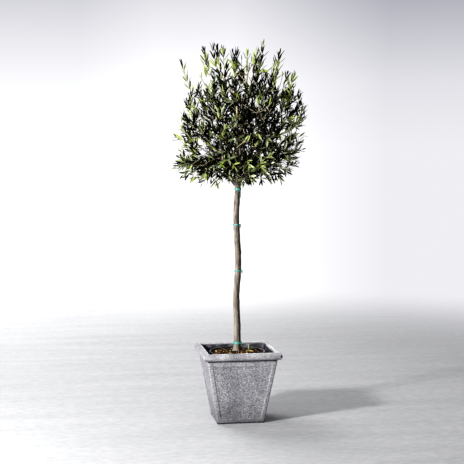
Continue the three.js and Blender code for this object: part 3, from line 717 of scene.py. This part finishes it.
def seedling_piece():
    """A weed seedling in the compost: a bent stem and two pairs of small leaves."""
    foot = IMAGE_RIGHT * SEEDLING["across"]
    foot[2] = soil_height(SEEDLING["across"]) - 0.002
    top = foot + np.array((0.001, -0.002, SEEDLING["height"]))
    shape = Shape()
    stem = curve([foot, foot + (0.002, 0, 0.016), top], 9)
    shape.add_tube(stem, np.full(9, SEEDLING["stem_r"]), 6)
    widths = np.sin(np.linspace(0.25, 2.95, 7))[:, None]
    for drop, size, turn in ((0, 1.0, 0.15), (0.007, 0.7, 1.5)):
        way = IMAGE_RIGHT * cos(turn) + IMAGE_AHEAD * sin(turn)
        wide = np.cross((0, 0, 1), way)
        for out in (way * SEEDLING["span"] * size, -way * SEEDLING["span"] * size):
            root = top - (0, 0, drop)
            spine = curve([root, root + out * 0.5 + (0, 0, 0.003), root + out], 7)
            shape.add_rings(ribbon(spine, wide * SEEDLING["leaf_half"] * size * widths, (0, 0, 0.0005)))
    green = finish("seedling_green")
    return hand_over(shape.make("seedling", [green], smooth_angle=50), "foliage")


# ---------------------------------------------------------------- trunk and boughs


def bends_line(bends, count):
    """Points of a smooth line through the bends."""
    p = np.array([bends[0], *bends, bends[-1]], float)
    p[0], p[-1] = 2 * p[1] - p[2], 2 * p[-2] - p[-3]
    line = []
    for k in range(1, len(p) - 2):
        for t in np.linspace(0, 1, count, endpoint=False):
            a, b, c, d = p[k - 1:k + 3]
            line.append(0.5 * (2 * b + (c - a) * t + (2 * a - 5 * b + 4 * c - d) * t ** 2
                               + (3 * b - a - 3 * c + d) * t ** 3))
    line.append(p[-2])
    return np.array(line)


TRUNK_LINE = bends_line(TRUNK_BENDS, 24)


def trunk_at(z):
    return np.array((np.interp(z, TRUNK_LINE[:, 2], TRUNK_LINE[:, 0]),
                     np.interp(z, TRUNK_LINE[:, 2], TRUNK_LINE[:, 1]), z))


def trunk_radius(z):
    rise = z - TRUNK_FOOT
    knot = KNOT_R * max(0.0, cos(2 * pi * rise / KNOT_EVERY)) ** 4
    taper = TRUNK_FOOT_R + (TRUNK_TOP_R - TRUNK_FOOT_R) * rise / (TRUNK_TOP - TRUNK_FOOT)
    return taper + knot + FLARE_R * exp(-rise / FLARE_RISE)


def bezier(points, t):
    """Points of a Bezier curve at the shares t."""
    t = np.atleast_1d(t)[:, None]
    levels = [np.asarray(p, float)[None, :] for p in points]
    while len(levels) > 1:
        levels = [a + (b - a) * t for a, b in zip(levels, levels[1:])]
    return levels[0]


def curve(points, count):
    """Points of a Bezier curve at even steps."""
    return bezier(points, np.linspace(0, 1, count))


def direction(turn, climb):
    turn, climb = radians(turn), radians(climb)
    return np.array((cos(turn) * cos(climb), sin(turn) * cos(climb), sin(climb)))


def crown_shift(z):
    return CROWN["lean"] * np.sin(pi * (z - CROWN["plumb_z"]) / CROWN["swing"])


def level(p):
    """Under 1 inside the crown's outline, and 1 on it."""
    p = np.atleast_2d(p)
    above = p[:, 2] > CROWN["middle"]
    power = np.where(above, CROWN["top_power"], CROWN["low_power"])
    t = np.abs(p[:, 2] - CROWN["middle"]) / np.where(above, CROWN["rise"], CROWN["drop"])
    r = np.hypot(p[:, 0] - crown_shift(p[:, 2]), p[:, 1]) / CROWN["radius"]
    return r ** power + t ** power


def way_out(p):
    """How far out points lie in the crown, as a share of the way to its outline."""
    p = np.atleast_2d(p)
    return level(p) ** (1 / np.where(p[:, 2] > CROWN["middle"], CROWN["top_power"], CROWN["low_power"]))


def crown_spot(turn, out, z):
    turn = radians(turn)
    return np.array((crown_shift(z) + out * cos(turn), out * sin(turn), z))


MASSES = [
    {"whorl": name, "order": i, "turn": w["turn"] + 360 * i / w["count"],
     "centre": crown_spot(w["turn"] + 360 * i / w["count"], w["out"], w["z"])}
    for name, w in WHORLS.items() for i in range(w["count"])
]


def depth_in(mass, p):
    """How far points are inside a mass's own space, which ends halfway to each other mass."""
    p = np.atleast_2d(p)
    depth = np.full(len(p), np.inf)
    for other in MASSES:
        if other is not mass:
            away = other["centre"] - mass["centre"]
            halfway = mass["centre"] + away / 2
            depth = np.minimum(depth, -(p - halfway) @ unit(away))
    return depth


def bough_between(root, tip, leave, end, kind):
    turn = degrees(atan2(tip[1] - root[1], tip[0] - root[0]))
    length = norm(tip - root)
    points = [root, root + direction(turn, leave) * 0.4 * length,
              tip - direction(turn, end) * 0.35 * length, tip]
    return {"points": points, "root_r": BOUGH_ROOT_R[kind], "length": length}


def grow_boughs():
    tip = crown_spot(LEADER["turn"], LEADER["out"], LEADER["z"])
    leader = bough_between(trunk_at(TRUNK_TOP - 0.001), tip, LEADER["leave"], LEADER["end"], "trunk")
    boughs = [leader]
    for mass in MASSES:
        whorl = WHORLS[mass["whorl"]]
        parent = leader
        if whorl["root"] == "trunk":
            share = mass["order"] / (whorl["count"] - 1)
            root = trunk_at(BOUGH_ROOT_LOW + (BOUGH_ROOT_HIGH - BOUGH_ROOT_LOW) * share)
        else:
            if whorl["root"] == "shoulder":
                gap = lambda m: abs((m["turn"] - mass["turn"] + 540) % 360 - 180)
                parent = min((m for m in MASSES if m["whorl"] == "shoulder"), key=gap)["bough"]
            root = bezier(parent["points"], whorl["at"] + BOUGH_APART * (mass["order"] % 3))[0]
        t = BOUGH_LEAST
        while t < BOUGH_MOST and depth_in(mass, root + (mass["centre"] - root) * t)[0] < BOUGH_INTO:
            t += 0.02
        tip = root + (mass["centre"] - root) * t
        mass["bough"] = bough_between(root, tip, whorl["leave"], whorl["end"], whorl["root"])
        boughs.append(mass["bough"])
    return boughs


def lengths_along(line):
    return np.concatenate([[0], np.cumsum(norm(np.diff(line, axis=0), axis=1))])


def raised(layer, a, s, shift_x, shift_y, floor=None):
    """How much one noise raises the bark at an angle round a limb and a length along it."""
    around, along, rise = layer
    value = noise.noise(Vector((cos(a) * around + shift_x, sin(a) * around + shift_y, s * along)))
    return rise * (value if floor is None else max(0.0, value - floor))


def add_limb(shape, line, radius_at, sides, relief, seed):
    """A tube whose surface has the bark's ridges, fissures and lumps."""
    lengths = lengths_along(line)
    radii = []
    for s in lengths:
        r = radius_at(s / lengths[-1])
        radii.append([r * (1 + relief * (raised(RIDGE, a, s, seed, 0) + raised(FISSURE, a, s, 0, seed)
                                         + raised(LUMP, a, s, 0, -seed, LUMP_FLOOR)))
                      for a in circle(sides)])
    shape.add_tube(line, radii, sides)


def limbs_piece(boughs):
    """The trunk from the soil to its fork, with every bough joined on."""
    shape = Shape()
    heights = np.concatenate([np.arange(TRUNK_FOOT - 0.006, TRUNK_FOOT + 0.03, 0.0015),
                              np.arange(TRUNK_FOOT + 0.03, TRUNK_TOP, 0.003)])
    line = np.array([trunk_at(z) for z in heights])
    span = heights[-1] - heights[0]
    add_limb(shape, line, lambda t: trunk_radius(max(TRUNK_FOOT, heights[0] + t * span)),
             TRUNK_SIDES, TRUNK_RELIEF, TRUNK_SEED)
    for k, bough in enumerate(boughs):
        path = curve(bough["points"], max(12, round(bough["length"] / BOUGH_STEP)))
        collar = COLLAR["thick" if bough["root_r"] > COLLAR["thick_from"] else "thin"]
        radius_at = lambda t: bough["root_r"] * (
            1 + (BOUGH_TAPER - 1) * t + collar * exp(-t * bough["length"] / COLLAR["fade"]))
        add_limb(shape, path, radius_at, BOUGH_SIDES, BOUGH_RELIEF, BOUGH_SEED * k)
    nodes = [n for n in frame["nodes"] if n == "trunk" or n.startswith("bough_")]
    return hand_over(shape.make("bark_limbs", [bark_finish()], smooth_angle=50), "bark", *nodes)


def add_band(shape, k, turn, z, width, tilt):
    """One turn of tape round the stem, in four rows of points: inner and outer, low and high."""
    rings = []
    for row, rise in ((0, -0.5), (1, -0.5), (1, 0.5), (0, 0.5)):
        ring = []
        for a in circle(TIE_SIDES):
            at_z = z + rise * width + tilt * TIE_TILT_R * cos(a + k)
            wave = TIE_WAVE * sin(TIE_WAVES * a + k)
            r = trunk_radius(at_z) * TIE_SLACK + TIE_LAYER * (1 + turn) + row * TIE_THICK + wave
            ring.append(trunk_at(at_z) + (r * cos(a), r * sin(a), 0))
        rings.append(ring)
    shape.add_rings([*rings, rings[0]], capped=False)


def ties_piece():
    """Turns of green tape round the stem, knotted at one side. The top one has a loose end."""
    shape = Shape()
    names = sorted(n for n in frame["nodes"] if n.startswith("tie_"))
    for k, name in enumerate(names):
        low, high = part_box(name)
        top_one = name == names[-1]
        z = high.z - 0.0065 if top_one else (low.z + high.z) / 2
        width = TIE_WIDTH * (0.85 if k == 0 or top_one else 0.55)
        for turn, (lift, tilt) in enumerate(((-0.0012, 0.06), (0.0014, -0.05))):
            add_band(shape, k, turn, z + lift, width, tilt)
        out = direction(-65 if top_one else -35, 0)
        side = np.array((-out[1], out[0], 0))
        foot = trunk_at(z) + out * (trunk_radius(z) + 0.0022)
        knot = [foot + side * s + out * o + (0, 0, h) for s, h, o in TIE_KNOT]
        shape.add_tube(curve(knot, 12), 0.0026 * np.sin(np.linspace(0.35, 2.8, 12)), 10)
        for sign, length, width in TIE_ENDS["loose" if top_one else "short"]:
            start = foot + out * 0.0014
            drop = np.array((0, 0, -length))
            strip = curve([start, start + side * sign * 0.006 + out * 0.002,
                           start + drop * 0.6 + side * sign * 0.004 + out * 0.0015,
                           start + drop + side * sign * 0.003], 10)
            shape.add_rings(ribbon(strip, side * width / 2, out * 0.0007))
    tape = finish("green_tie_tape")
    return hand_over(shape.make("tie_tapes", [tape], smooth_angle=40), "tape", *names)


# ---------------------------------------------------------------- foliage


def tip_heading(p, rng, most_sway):
    """The way a shoot's tip points: outwards and a little down below, more and more upwards above."""
    height = max(0.0, (p[2] - HEADING["low"]) / HEADING["span"])
    out = np.array((p[0] - crown_shift(p[2]), p[1], 0)) * HEADING["out"] / CROWN["radius"]
    out = out * (1 - HEADING["upright"] * min(1, height))
    sway = rng.uniform(-1, 1, 2) * most_sway
    return unit(out + np.array((*sway, HEADING["rise"] * sqrt(height) - HEADING["droop"])))


def chance_tips(mass, rng):
    """Tips spread evenly through the mass's space, closer together near the crown's outline."""
    spots = mass["centre"] + rng.uniform(-TIPS["spread"], TIPS["spread"], (TIPS["throws"], 3))
    far = level(spots)
    spots = spots[(far < TIPS["highest_level"]) & (far > TIPS["lowest_level"])
                  & (depth_in(mass, spots) > TIPS["border"])]
    tips = np.empty((0, 3))
    for spot, far in zip(spots, way_out(spots)):
        zone = "top" if spot[2] > TOP_Z else "shell" if far > SHELL else "heart"
        space = TIP_SPACE["fringe" if spot[2] < FRINGE_Z else zone]
        if not len(tips) or np.min(norm(tips - spot, axis=1)) > space:
            tips = np.vstack([tips, spot])
    return tips


def tint_odds(place):
    """The odds of each tint for a spray, by how deep in the crown and how high it sits. The deep tint,
    painted shade, is commonest inside the crown; the lit tint, painted light, is mostly outside.
    """
    out = way_out(place)[0]
    height = (place[2] - TINT_FOOT_Z) / TINT_SPAN
    zone = "outer"
    if out < HEART:
        zone = "heart"
    elif place[2] < FRINGE_Z:
        zone = "fringe"
    elif out < (SHELL if place[2] > SKIRT_Z else SKIRT_SHELL):
        zone = "shaded"
    low, gain = np.array(TINT_ODDS[zone])
    odds = low + gain * height
    if zone == "outer":
        odds[0] += TOP_DEEP * height ** 2
    return odds / odds.sum()


class Crown:
    """Every twig and leaf of the crown. A leaf is a row of numbers: root, way, face, size, spray."""

    def __init__(self):
        self.twigs = Shape()
        self.leaves, self.sprays = [], []

    def leaf(self, root, way, face, size, reach, mass):
        end = root + way * LEAF["length"] * size
        mid = root + way * LEAF["length"] * size * 0.5
        inside = reach == "long" or min(depth_in(mass, np.array((mid, end)))) > BARE_BORDER
        if level(end)[0] < REACH[reach] and inside:
            self.leaves.append((*root, *way, *face, size, len(self.sprays) - 1))

    def pair(self, point, along, out, place, spread, reach, mass, rng):
        """Two leaves that face each other across the twig. The shoot's last pairs are small."""
        size = LEAF["end_sizes"][place] if place < len(LEAF["end_sizes"]) else 1.0
        for sign in (1, -1):
            lean = radians(spread * (0.55 + 0.15 * min(place, 3)) + rng.uniform(-9, 9))
            way = unit(along * cos(lean) + out * sign * sin(lean))
            up = along + np.array((0, 0, 0.5)) + rng.uniform(-0.3, 0.3, 3)
            face = unit(up - way * up.dot(way))
            self.leaf(point, way, face, size * rng.uniform(0.82, 1.12), reach, mass)

    def shoot(self, line, radii, bare, reach, mass, rng):
        """A twig with pairs of leaves, each a quarter turn on from the last. Two pairs are a spray."""
        # Twigs inside the crown take the dark bark of painted shade, all but one in PALE_TWIG_EVERY.
        inner = way_out(line[len(line) // 2])[0] < SHELL and len(self.sprays) % PALE_TWIG_EVERY > 0
        self.twigs.add_tube(line, radii, 5, int(inner))
        tangents, sides, acrosses = frames_along(line)
        lengths = lengths_along(line)
        turn = rng.uniform(0, 360)
        height = min(1, max(0, (line[-1][2] - LEAF["lean_from"]) / LEAF["lean_span"]))
        spread = LEAF["lean_low"] + (LEAF["lean_high"] - LEAF["lean_low"]) * height
        at, place = lengths[-1], 0
        while at > bare * lengths[-1]:
            k = min(len(line) - 2, int(np.searchsorted(lengths, at, side="right")) - 1)
            share = (at - lengths[k]) / (lengths[k + 1] - lengths[k])
            point = line[k] + (line[k + 1] - line[k]) * min(1, max(0, share))
            if place % 2 == 0:
                self.sprays.append(int(rng.choice(len(LEAF_TINTS), p=tint_odds(point))))
            angle = radians(turn + 90 * place + rng.uniform(-16, 16))
            out = sides[k] * cos(angle) + acrosses[k] * sin(angle)
            self.pair(point, tangents[k], out, place, spread, reach, mass, rng)
            at -= LEAF["pitch"] * rng.uniform(0.8, 1.2)
            place += 1

    def grow(self, mass, rng):
        """A stem that carries the bough on, and shoots from it and from each other to every tip."""
        bough = mass["bough"]
        before, tip = bezier(bough["points"], [0.97, 1])
        way = unit(tip - before)
        gap = norm(mass["centre"] - tip)
        stem = curve([tip - way * 0.004, tip + way * 0.4 * gap, mass["centre"]], 12)
        self.twigs.add_tube(stem, np.linspace(bough["root_r"] * BOUGH_TAPER, STEM_TIP_R, 12), 8)
        joints = [*stem[3:]]
        thick = [0.0018] * len(joints)
        longs = [IMAGE_RIGHT * across + IMAGE_AHEAD * away + (0, 0, z) for across, away, z in LONG_SHOOTS]
        longs = [p for p in longs if depth_in(mass, p - (0, 0, SHOOT["long"]))[0] >= 0]
        tips = chance_tips(mass, rng)
        tips = tips[np.argsort(norm(tips - tip, axis=1))]
        for place, reach in [(p, "clipped") for p in tips] + [(p, "long") for p in longs]:
            way = tip_heading(place, rng, 0 if reach == "long" else HEADING["sway"])
            end = place - way * LEAF["length"] * 0.8
            back = end - np.array(joints)
            away = norm(back, axis=1)
            if reach == "long":
                foot = end - way * SHOOT["long"]
                nearest = int(np.argmin(norm(np.array(joints) - foot, axis=1)))
            else:
                aside = norm(back - np.outer(back @ way, way), axis=1)
                fits = np.where((away > SHOOT["least"]) & (away < SHOOT["most"]),
                                away + SHOOT["aside"] * aside, np.inf)
                nearest = int(np.argmin(fits))
                if not np.isfinite(fits[nearest]):
                    continue
                foot = end - way * SHOOT["bow"] * away[nearest]
            count = max(5, round(away[nearest] / 0.010))
            path = curve([joints[nearest], foot, end], count)
            root_r = min(SHOOT["root_r"], thick[nearest] * 0.9)
            short = away[nearest] < LEAFLESS["from"] or reach == "long"
            self.shoot(path, np.linspace(root_r, SHOOT["tip_r"], count),
                       LEAFLESS["short" if short else "long"], reach, mass, rng)
            for share in SHOOT["joints"]:
                joints.append(path[int(share * (count - 1))])
                thick.append(root_r + (SHOOT["tip_r"] - root_r) * share)


# A leaf's stations: how far along it is, and how wide it is as a share of the widest.
LEAF_STATIONS = ((0.11, 0.42), (0.38, 1.0), (0.75, 0.80))
LEAF_FOLD = 0.32  # how far the midrib sinks below the edges, by half the width
LEAF_ROOT, LEAF_TIP = 0, 1


def leaf_template():
    """A folded blade: points as (along, across, up, thickness side), and faces of each side."""
    points = [(0, 0, 0, 0), (1, 0, 0, 0)]
    for along, wide in LEAF_STATIONS:
        points += [(along, wide, 0, 0), (along, -wide, 0, 0),
                   (along, 0, -LEAF_FOLD * wide, 1), (along, 0, -LEAF_FOLD * wide, -1)]
    sheets = []
    for rib, step in ((2, 1), (3, -1)):
        rows = [(i, i + rib, i + 1) for i in range(2, len(points), 4)]
        (left, mid, right), (last_left, last_mid, last_right) = rows[0], rows[-1]
        faces = [(LEAF_ROOT, mid, left), (LEAF_ROOT, right, mid)]
        for (a, b, c), (d, e, f) in zip(rows, rows[1:]):
            faces += [(a, b, e), (a, e, d), (b, c, e), (c, f, e)]
        faces += [(last_left, last_mid, LEAF_TIP), (last_mid, last_right, LEAF_TIP)]
        sheets.append([face[::step] for face in faces])
    return np.array(points, float), *sheets


def leaves_piece(name, rows, materials, rng):
    """Every leaf of one tint as a joined mesh."""
    template, upper, under = leaf_template()
    n, k = len(rows), len(template)
    root, way, face, size = rows[:, 0:3], rows[:, 3:6], rows[:, 6:9], rows[:, 9]
    side = np.cross(face, way)
    length = (LEAF["length"] * size)[:, None]
    half = (LEAF["width"] / 2 * size * rng.uniform(0.85, 1.12, n))[:, None]
    bend = rng.uniform(-0.03, 0.07, n)[:, None]  # how far the tip curls away from the leaf's face
    along, across, up, thick = template.T
    x = length * along
    y = half * across
    z = half * up + LEAF["thick"] / 2 * thick - length * bend * along ** 2
    points = root[:, None, :] + x[:, :, None] * way[:, None, :] + y[:, :, None] * side[:, None, :] \
        + z[:, :, None] * face[:, None, :]
    faces = np.concatenate([np.array(upper), np.array(under)])
    every = (faces[None, :, :] + np.arange(n)[:, None, None] * k).reshape(-1, 3)
    mesh = bpy.data.meshes.new(name)
    mesh.from_pydata(points.reshape(-1, 3).tolist(), [], every.tolist())
    for material in materials:
        mesh.materials.append(material)
    kinds = np.tile(np.repeat((0, 1), (len(upper), len(under))), n)
    mesh.polygons.foreach_set("material_index", kinds)
    mesh.shade_smooth()
    ends = np.zeros(len(mesh.edges) * 2, int)
    mesh.edges.foreach_get("vertices", ends)
    rim = np.all(template[ends.reshape(-1, 2) % k][:, :, 3] == 0, axis=1)
    sharp = mesh.attributes.new("sharp_edge", "BOOLEAN", "EDGE")
    sharp.data.foreach_set("value", rim)
    return finish_mesh(name, mesh)


def in_sky_gap(points):
    """Whether points lie in one of the openings, as the camera sees them."""
    right = CAMERA_AHEAD.cross(Vector((0, 0, 1))).normalized()
    up = right.cross(CAMERA_AHEAD)
    away = points - np.array(CAMERA_PLACE)
    depth = away @ np.array(CAMERA_AHEAD)
    across = IMAGE_SIDE / 2 + FOCAL_PIXELS * (away @ np.array(right)) / depth
    down = IMAGE_SIDE / 2 - FOCAL_PIXELS * (away @ np.array(up)) / depth
    return np.any([((across - x) / w) ** 2 + ((down - y) / h) ** 2 < 1 for x, y, w, h in SKY_GAPS], axis=0)


def foliage_pieces():
    crown = Crown()
    for k, mass in enumerate(MASSES):
        crown.grow(mass, np.random.default_rng(SEED + k))
    rows = np.array(crown.leaves)
    middles = rows[:, 0:3] + rows[:, 3:6] * LEAF["length"] / 2
    cleared = np.random.default_rng(SEED).random(len(rows)) < GAP_CLEARED
    rows = rows[~(in_sky_gap(middles) & cleared)]
    tints = np.array(crown.sprays)[rows[:, 10].astype(int)]
    nodes = [n for n in frame["nodes"] if n.startswith("foliage_")]
    barks = [twig_finish(name) for name in TWIG_BARKS]
    hand_over(crown.twigs.make("twigs", barks, smooth_angle=60), "foliage", *nodes)
    rng = np.random.default_rng(SEED)
    for k, (name, (upper, under)) in enumerate(LEAF_TINTS.items()):
        shine = DEEP_SHINE if name == "deep" else LEAF_SHINE
        materials = [leaf_finish(f"leaf_{name}_upper", upper, shine, 0.42, 420),
                     leaf_finish(f"leaf_{name}_under", under, shine, 0.70, 650)]
        hand_over(leaves_piece(f"leaves_{name}", rows[tints == k], materials, rng), "foliage")


# ---------------------------------------------------------------- stage, lights and camera


FLOOR_R, FLOOR_FADE = 5.4, (1.6, 5.2)  # it is clear from the second distance on
# Each light: its place, aim, size, power and the pieces that it spares, or lights alone.
LIGHTS = {
    "key": ((-4.1, -2.5, 2.30), (0, 0, 0.60), (0.6, 0.6), 488, "EXCLUDE", ("floor", "limbs")),
    "limb_key": ((-4.48, -1.72, 2.30), (0, 0, 0.60), (0.4, 0.4), 530, "INCLUDE", ("limbs",)),
    "front": ((-2.6, -4.2, 0.9), (0, 0, 1.0), (1.6, 1.6), 100, "EXCLUDE", ("floor", "limbs")),
    "overhead": ((-0.9, -0.8, 4.2), (0, 0, 1.0), (1.6, 1.6), 38, "EXCLUDE", ("floor",)),
    "back": ((1.4, 4.7, 2.4), (0, 0, 0.9), (1.6, 1.6), 100, "EXCLUDE", ("floor",)),
    "floor_key": ((-2.76, -1.78, 1.89), (0, 0, 0), (0.36, 0.36), 142, "INCLUDE", ("floor",)),
    "floor_fill": ((0, 0.4, 4.5), (0, 0.4, 0), (5.0, 5.0), 84, "INCLUDE", ("floor",)),
    "floor_wash": ((-2.0, 3.6, 3.2), (-1.0, 2.4, 0), (3.0, 2.0), 165, "INCLUDE", ("floor",)),
}
WORLD_COLOUR, WORLD_STRENGTH = (0.93, 0.96, 1, 1), 0.10
# How much darker the background is at each value of the view's direction: dimmer to the right and
# dimmer high up. At a dimness of 1 it would be nearly black.
DIM_ACROSS = {"ends": (0, 0.32),
              "at": ((0.02, 0.25), (0.09, 0.18), (0.16, 0.18), (0.25, 0.32), (0.30, 0.385))}
DIM_UP = {"ends": (-0.05, 0.18), "at": ((0.017, 0), (0.077, 0.06), (0.117, 0.16), (0.155, 0.26))}
DIM_COLOUR = (0, 0, 0.06, 1)


def stage():
    """A plain pale floor that fades into the background towards its edge."""
    rings = [round_ring(r, 0) for r in (FLOOR_R, FLOOR_R * 0.6, FLOOR_R * 0.3, 0.05)]
    shape = Shape()
    shape.add_rings(rings, capped=False)
    shape.add(rings[-1], [tuple(range(ROUND))])
    f = Finish("pale_floor", roughness=0.85, specular=0.15)
    patches = f.ramp(f.noise(3.5, 4, (0.35, 2.4, 1)),
                     (0.3, (0.436, 0.436, 0.445)), (0.7, (0.490, 0.490, 0.501)))
    scratches = f.ramp(f.noise(46, 6, (0.5, 1, 1), 0.75), (0.32, 0.80), (0.64, 1.0))
    f.colour(f.times(patches, scratches))
    f.bump(f.noise(60, 3), 0.0006, 0.2)
    distance = f.add("VectorMath", "Value", {0: f.place}, operation="LENGTH")
    near, far = FLOOR_FADE
    share = f.add("MapRange", "Result", {"Value": distance, "From Min": near, "From Max": far},
                  interpolation_type="SMOOTHERSTEP")
    clear = f.add("BsdfTransparent", 0, {})
    blend = f.add("MixShader", 0, {0: share, 1: f.shader.outputs[0], 2: clear})
    f.tree.links.new(blend, f.tree.nodes["Material Output"].inputs["Surface"])
    floor = shape.make("studio_floor", [f.material])
    return floor


def area_light(name, place, aim, size, power, state, linked):
    """A soft light that falls on everything but the linked pieces, or on them alone."""
    light = bpy.data.lights.new(name, "AREA")
    light.shape, light.size, light.size_y, light.energy = "RECTANGLE", *size, power
    lamp = bpy.data.objects.new(name, light)
    lamp.location = place
    lamp.rotation_euler = (Vector(aim) - Vector(place)).to_track_quat("-Z", "Y").to_euler()
    lamp.visible_camera = False
    bpy.context.scene.collection.objects.link(lamp)
    group = bpy.data.collections.new(f"{name}_reach")
    for piece in linked:
        group.objects.link(piece)
    lamp.light_linking.receiver_collection = group
    for entry in group.collection_objects:
        entry.light_linking.link_state = state


def world():
    """A faint even light, and a background that only the camera sees."""
    made = bpy.data.worlds.new("studio")
    bpy.context.scene.world = made
    made.use_nodes = True
    tree = made.node_tree
    light = tree.nodes["Background"]
    light.inputs["Color"].default_value = WORLD_COLOUR
    light.inputs["Strength"].default_value = WORLD_STRENGTH
    way = add_node(tree, "TexCoord", "Generated", {})

    def dimness(axis, dim):
        low, high = dim["ends"]
        value = add_node(tree, "SeparateXYZ", axis, {0: way})
        spread = add_node(tree, "MapRange", "Result", {"Value": value, "From Min": low, "From Max": high})
        return add_ramp(tree, spread, [((at - low) / (high - low), grey) for at, grey in dim["at"]])

    dim = add_node(tree, "Math", 0, {0: dimness("X", DIM_ACROSS), 1: dimness("Z", DIM_UP)}, operation="ADD")
    tint = add_node(tree, "Mix", MIX_RESULT, {MIX_SHARE: dim, MIX_A: (1, 1, 1, 1), MIX_B: DIM_COLOUR},
                    data_type="RGBA")
    seen = add_node(tree, "Background", 0, {"Color": tint})
    by_camera = add_node(tree, "LightPath", "Is Camera Ray", {})
    blend = add_node(tree, "MixShader", 0, {0: by_camera, 1: light.outputs[0], 2: seen})
    tree.links.new(blend, tree.nodes["World Output"].inputs["Surface"])


def camera():
    data = bpy.data.cameras.new("camera")
    data.sensor_width = SENSOR * 1000
    data.lens = FOCAL_PIXELS / IMAGE_SIDE * SENSOR * 1000
    cam = bpy.data.objects.new("camera", data)
    cam.location = CAMERA_PLACE
    cam.rotation_euler = CAMERA_AHEAD.to_track_quat("-Z", "Y").to_euler()
    bpy.context.scene.collection.objects.link(cam)
    bpy.context.scene.camera = cam
    bpy.context.scene.view_settings.view_transform = "Standard"
    bpy.context.scene.view_settings.look = "High Contrast"


camera()
planter_piece()
nursery_pot_piece()
soil_piece()
chips_piece()
seedling_piece()
pieces = {"limbs": limbs_piece(grow_boughs())}
ties_piece()
foliage_pieces()
pieces["floor"] = stage()
for name, (*light, linked) in LIGHTS.items():
    area_light(name, *light, [pieces[piece] for piece in linked])
world()
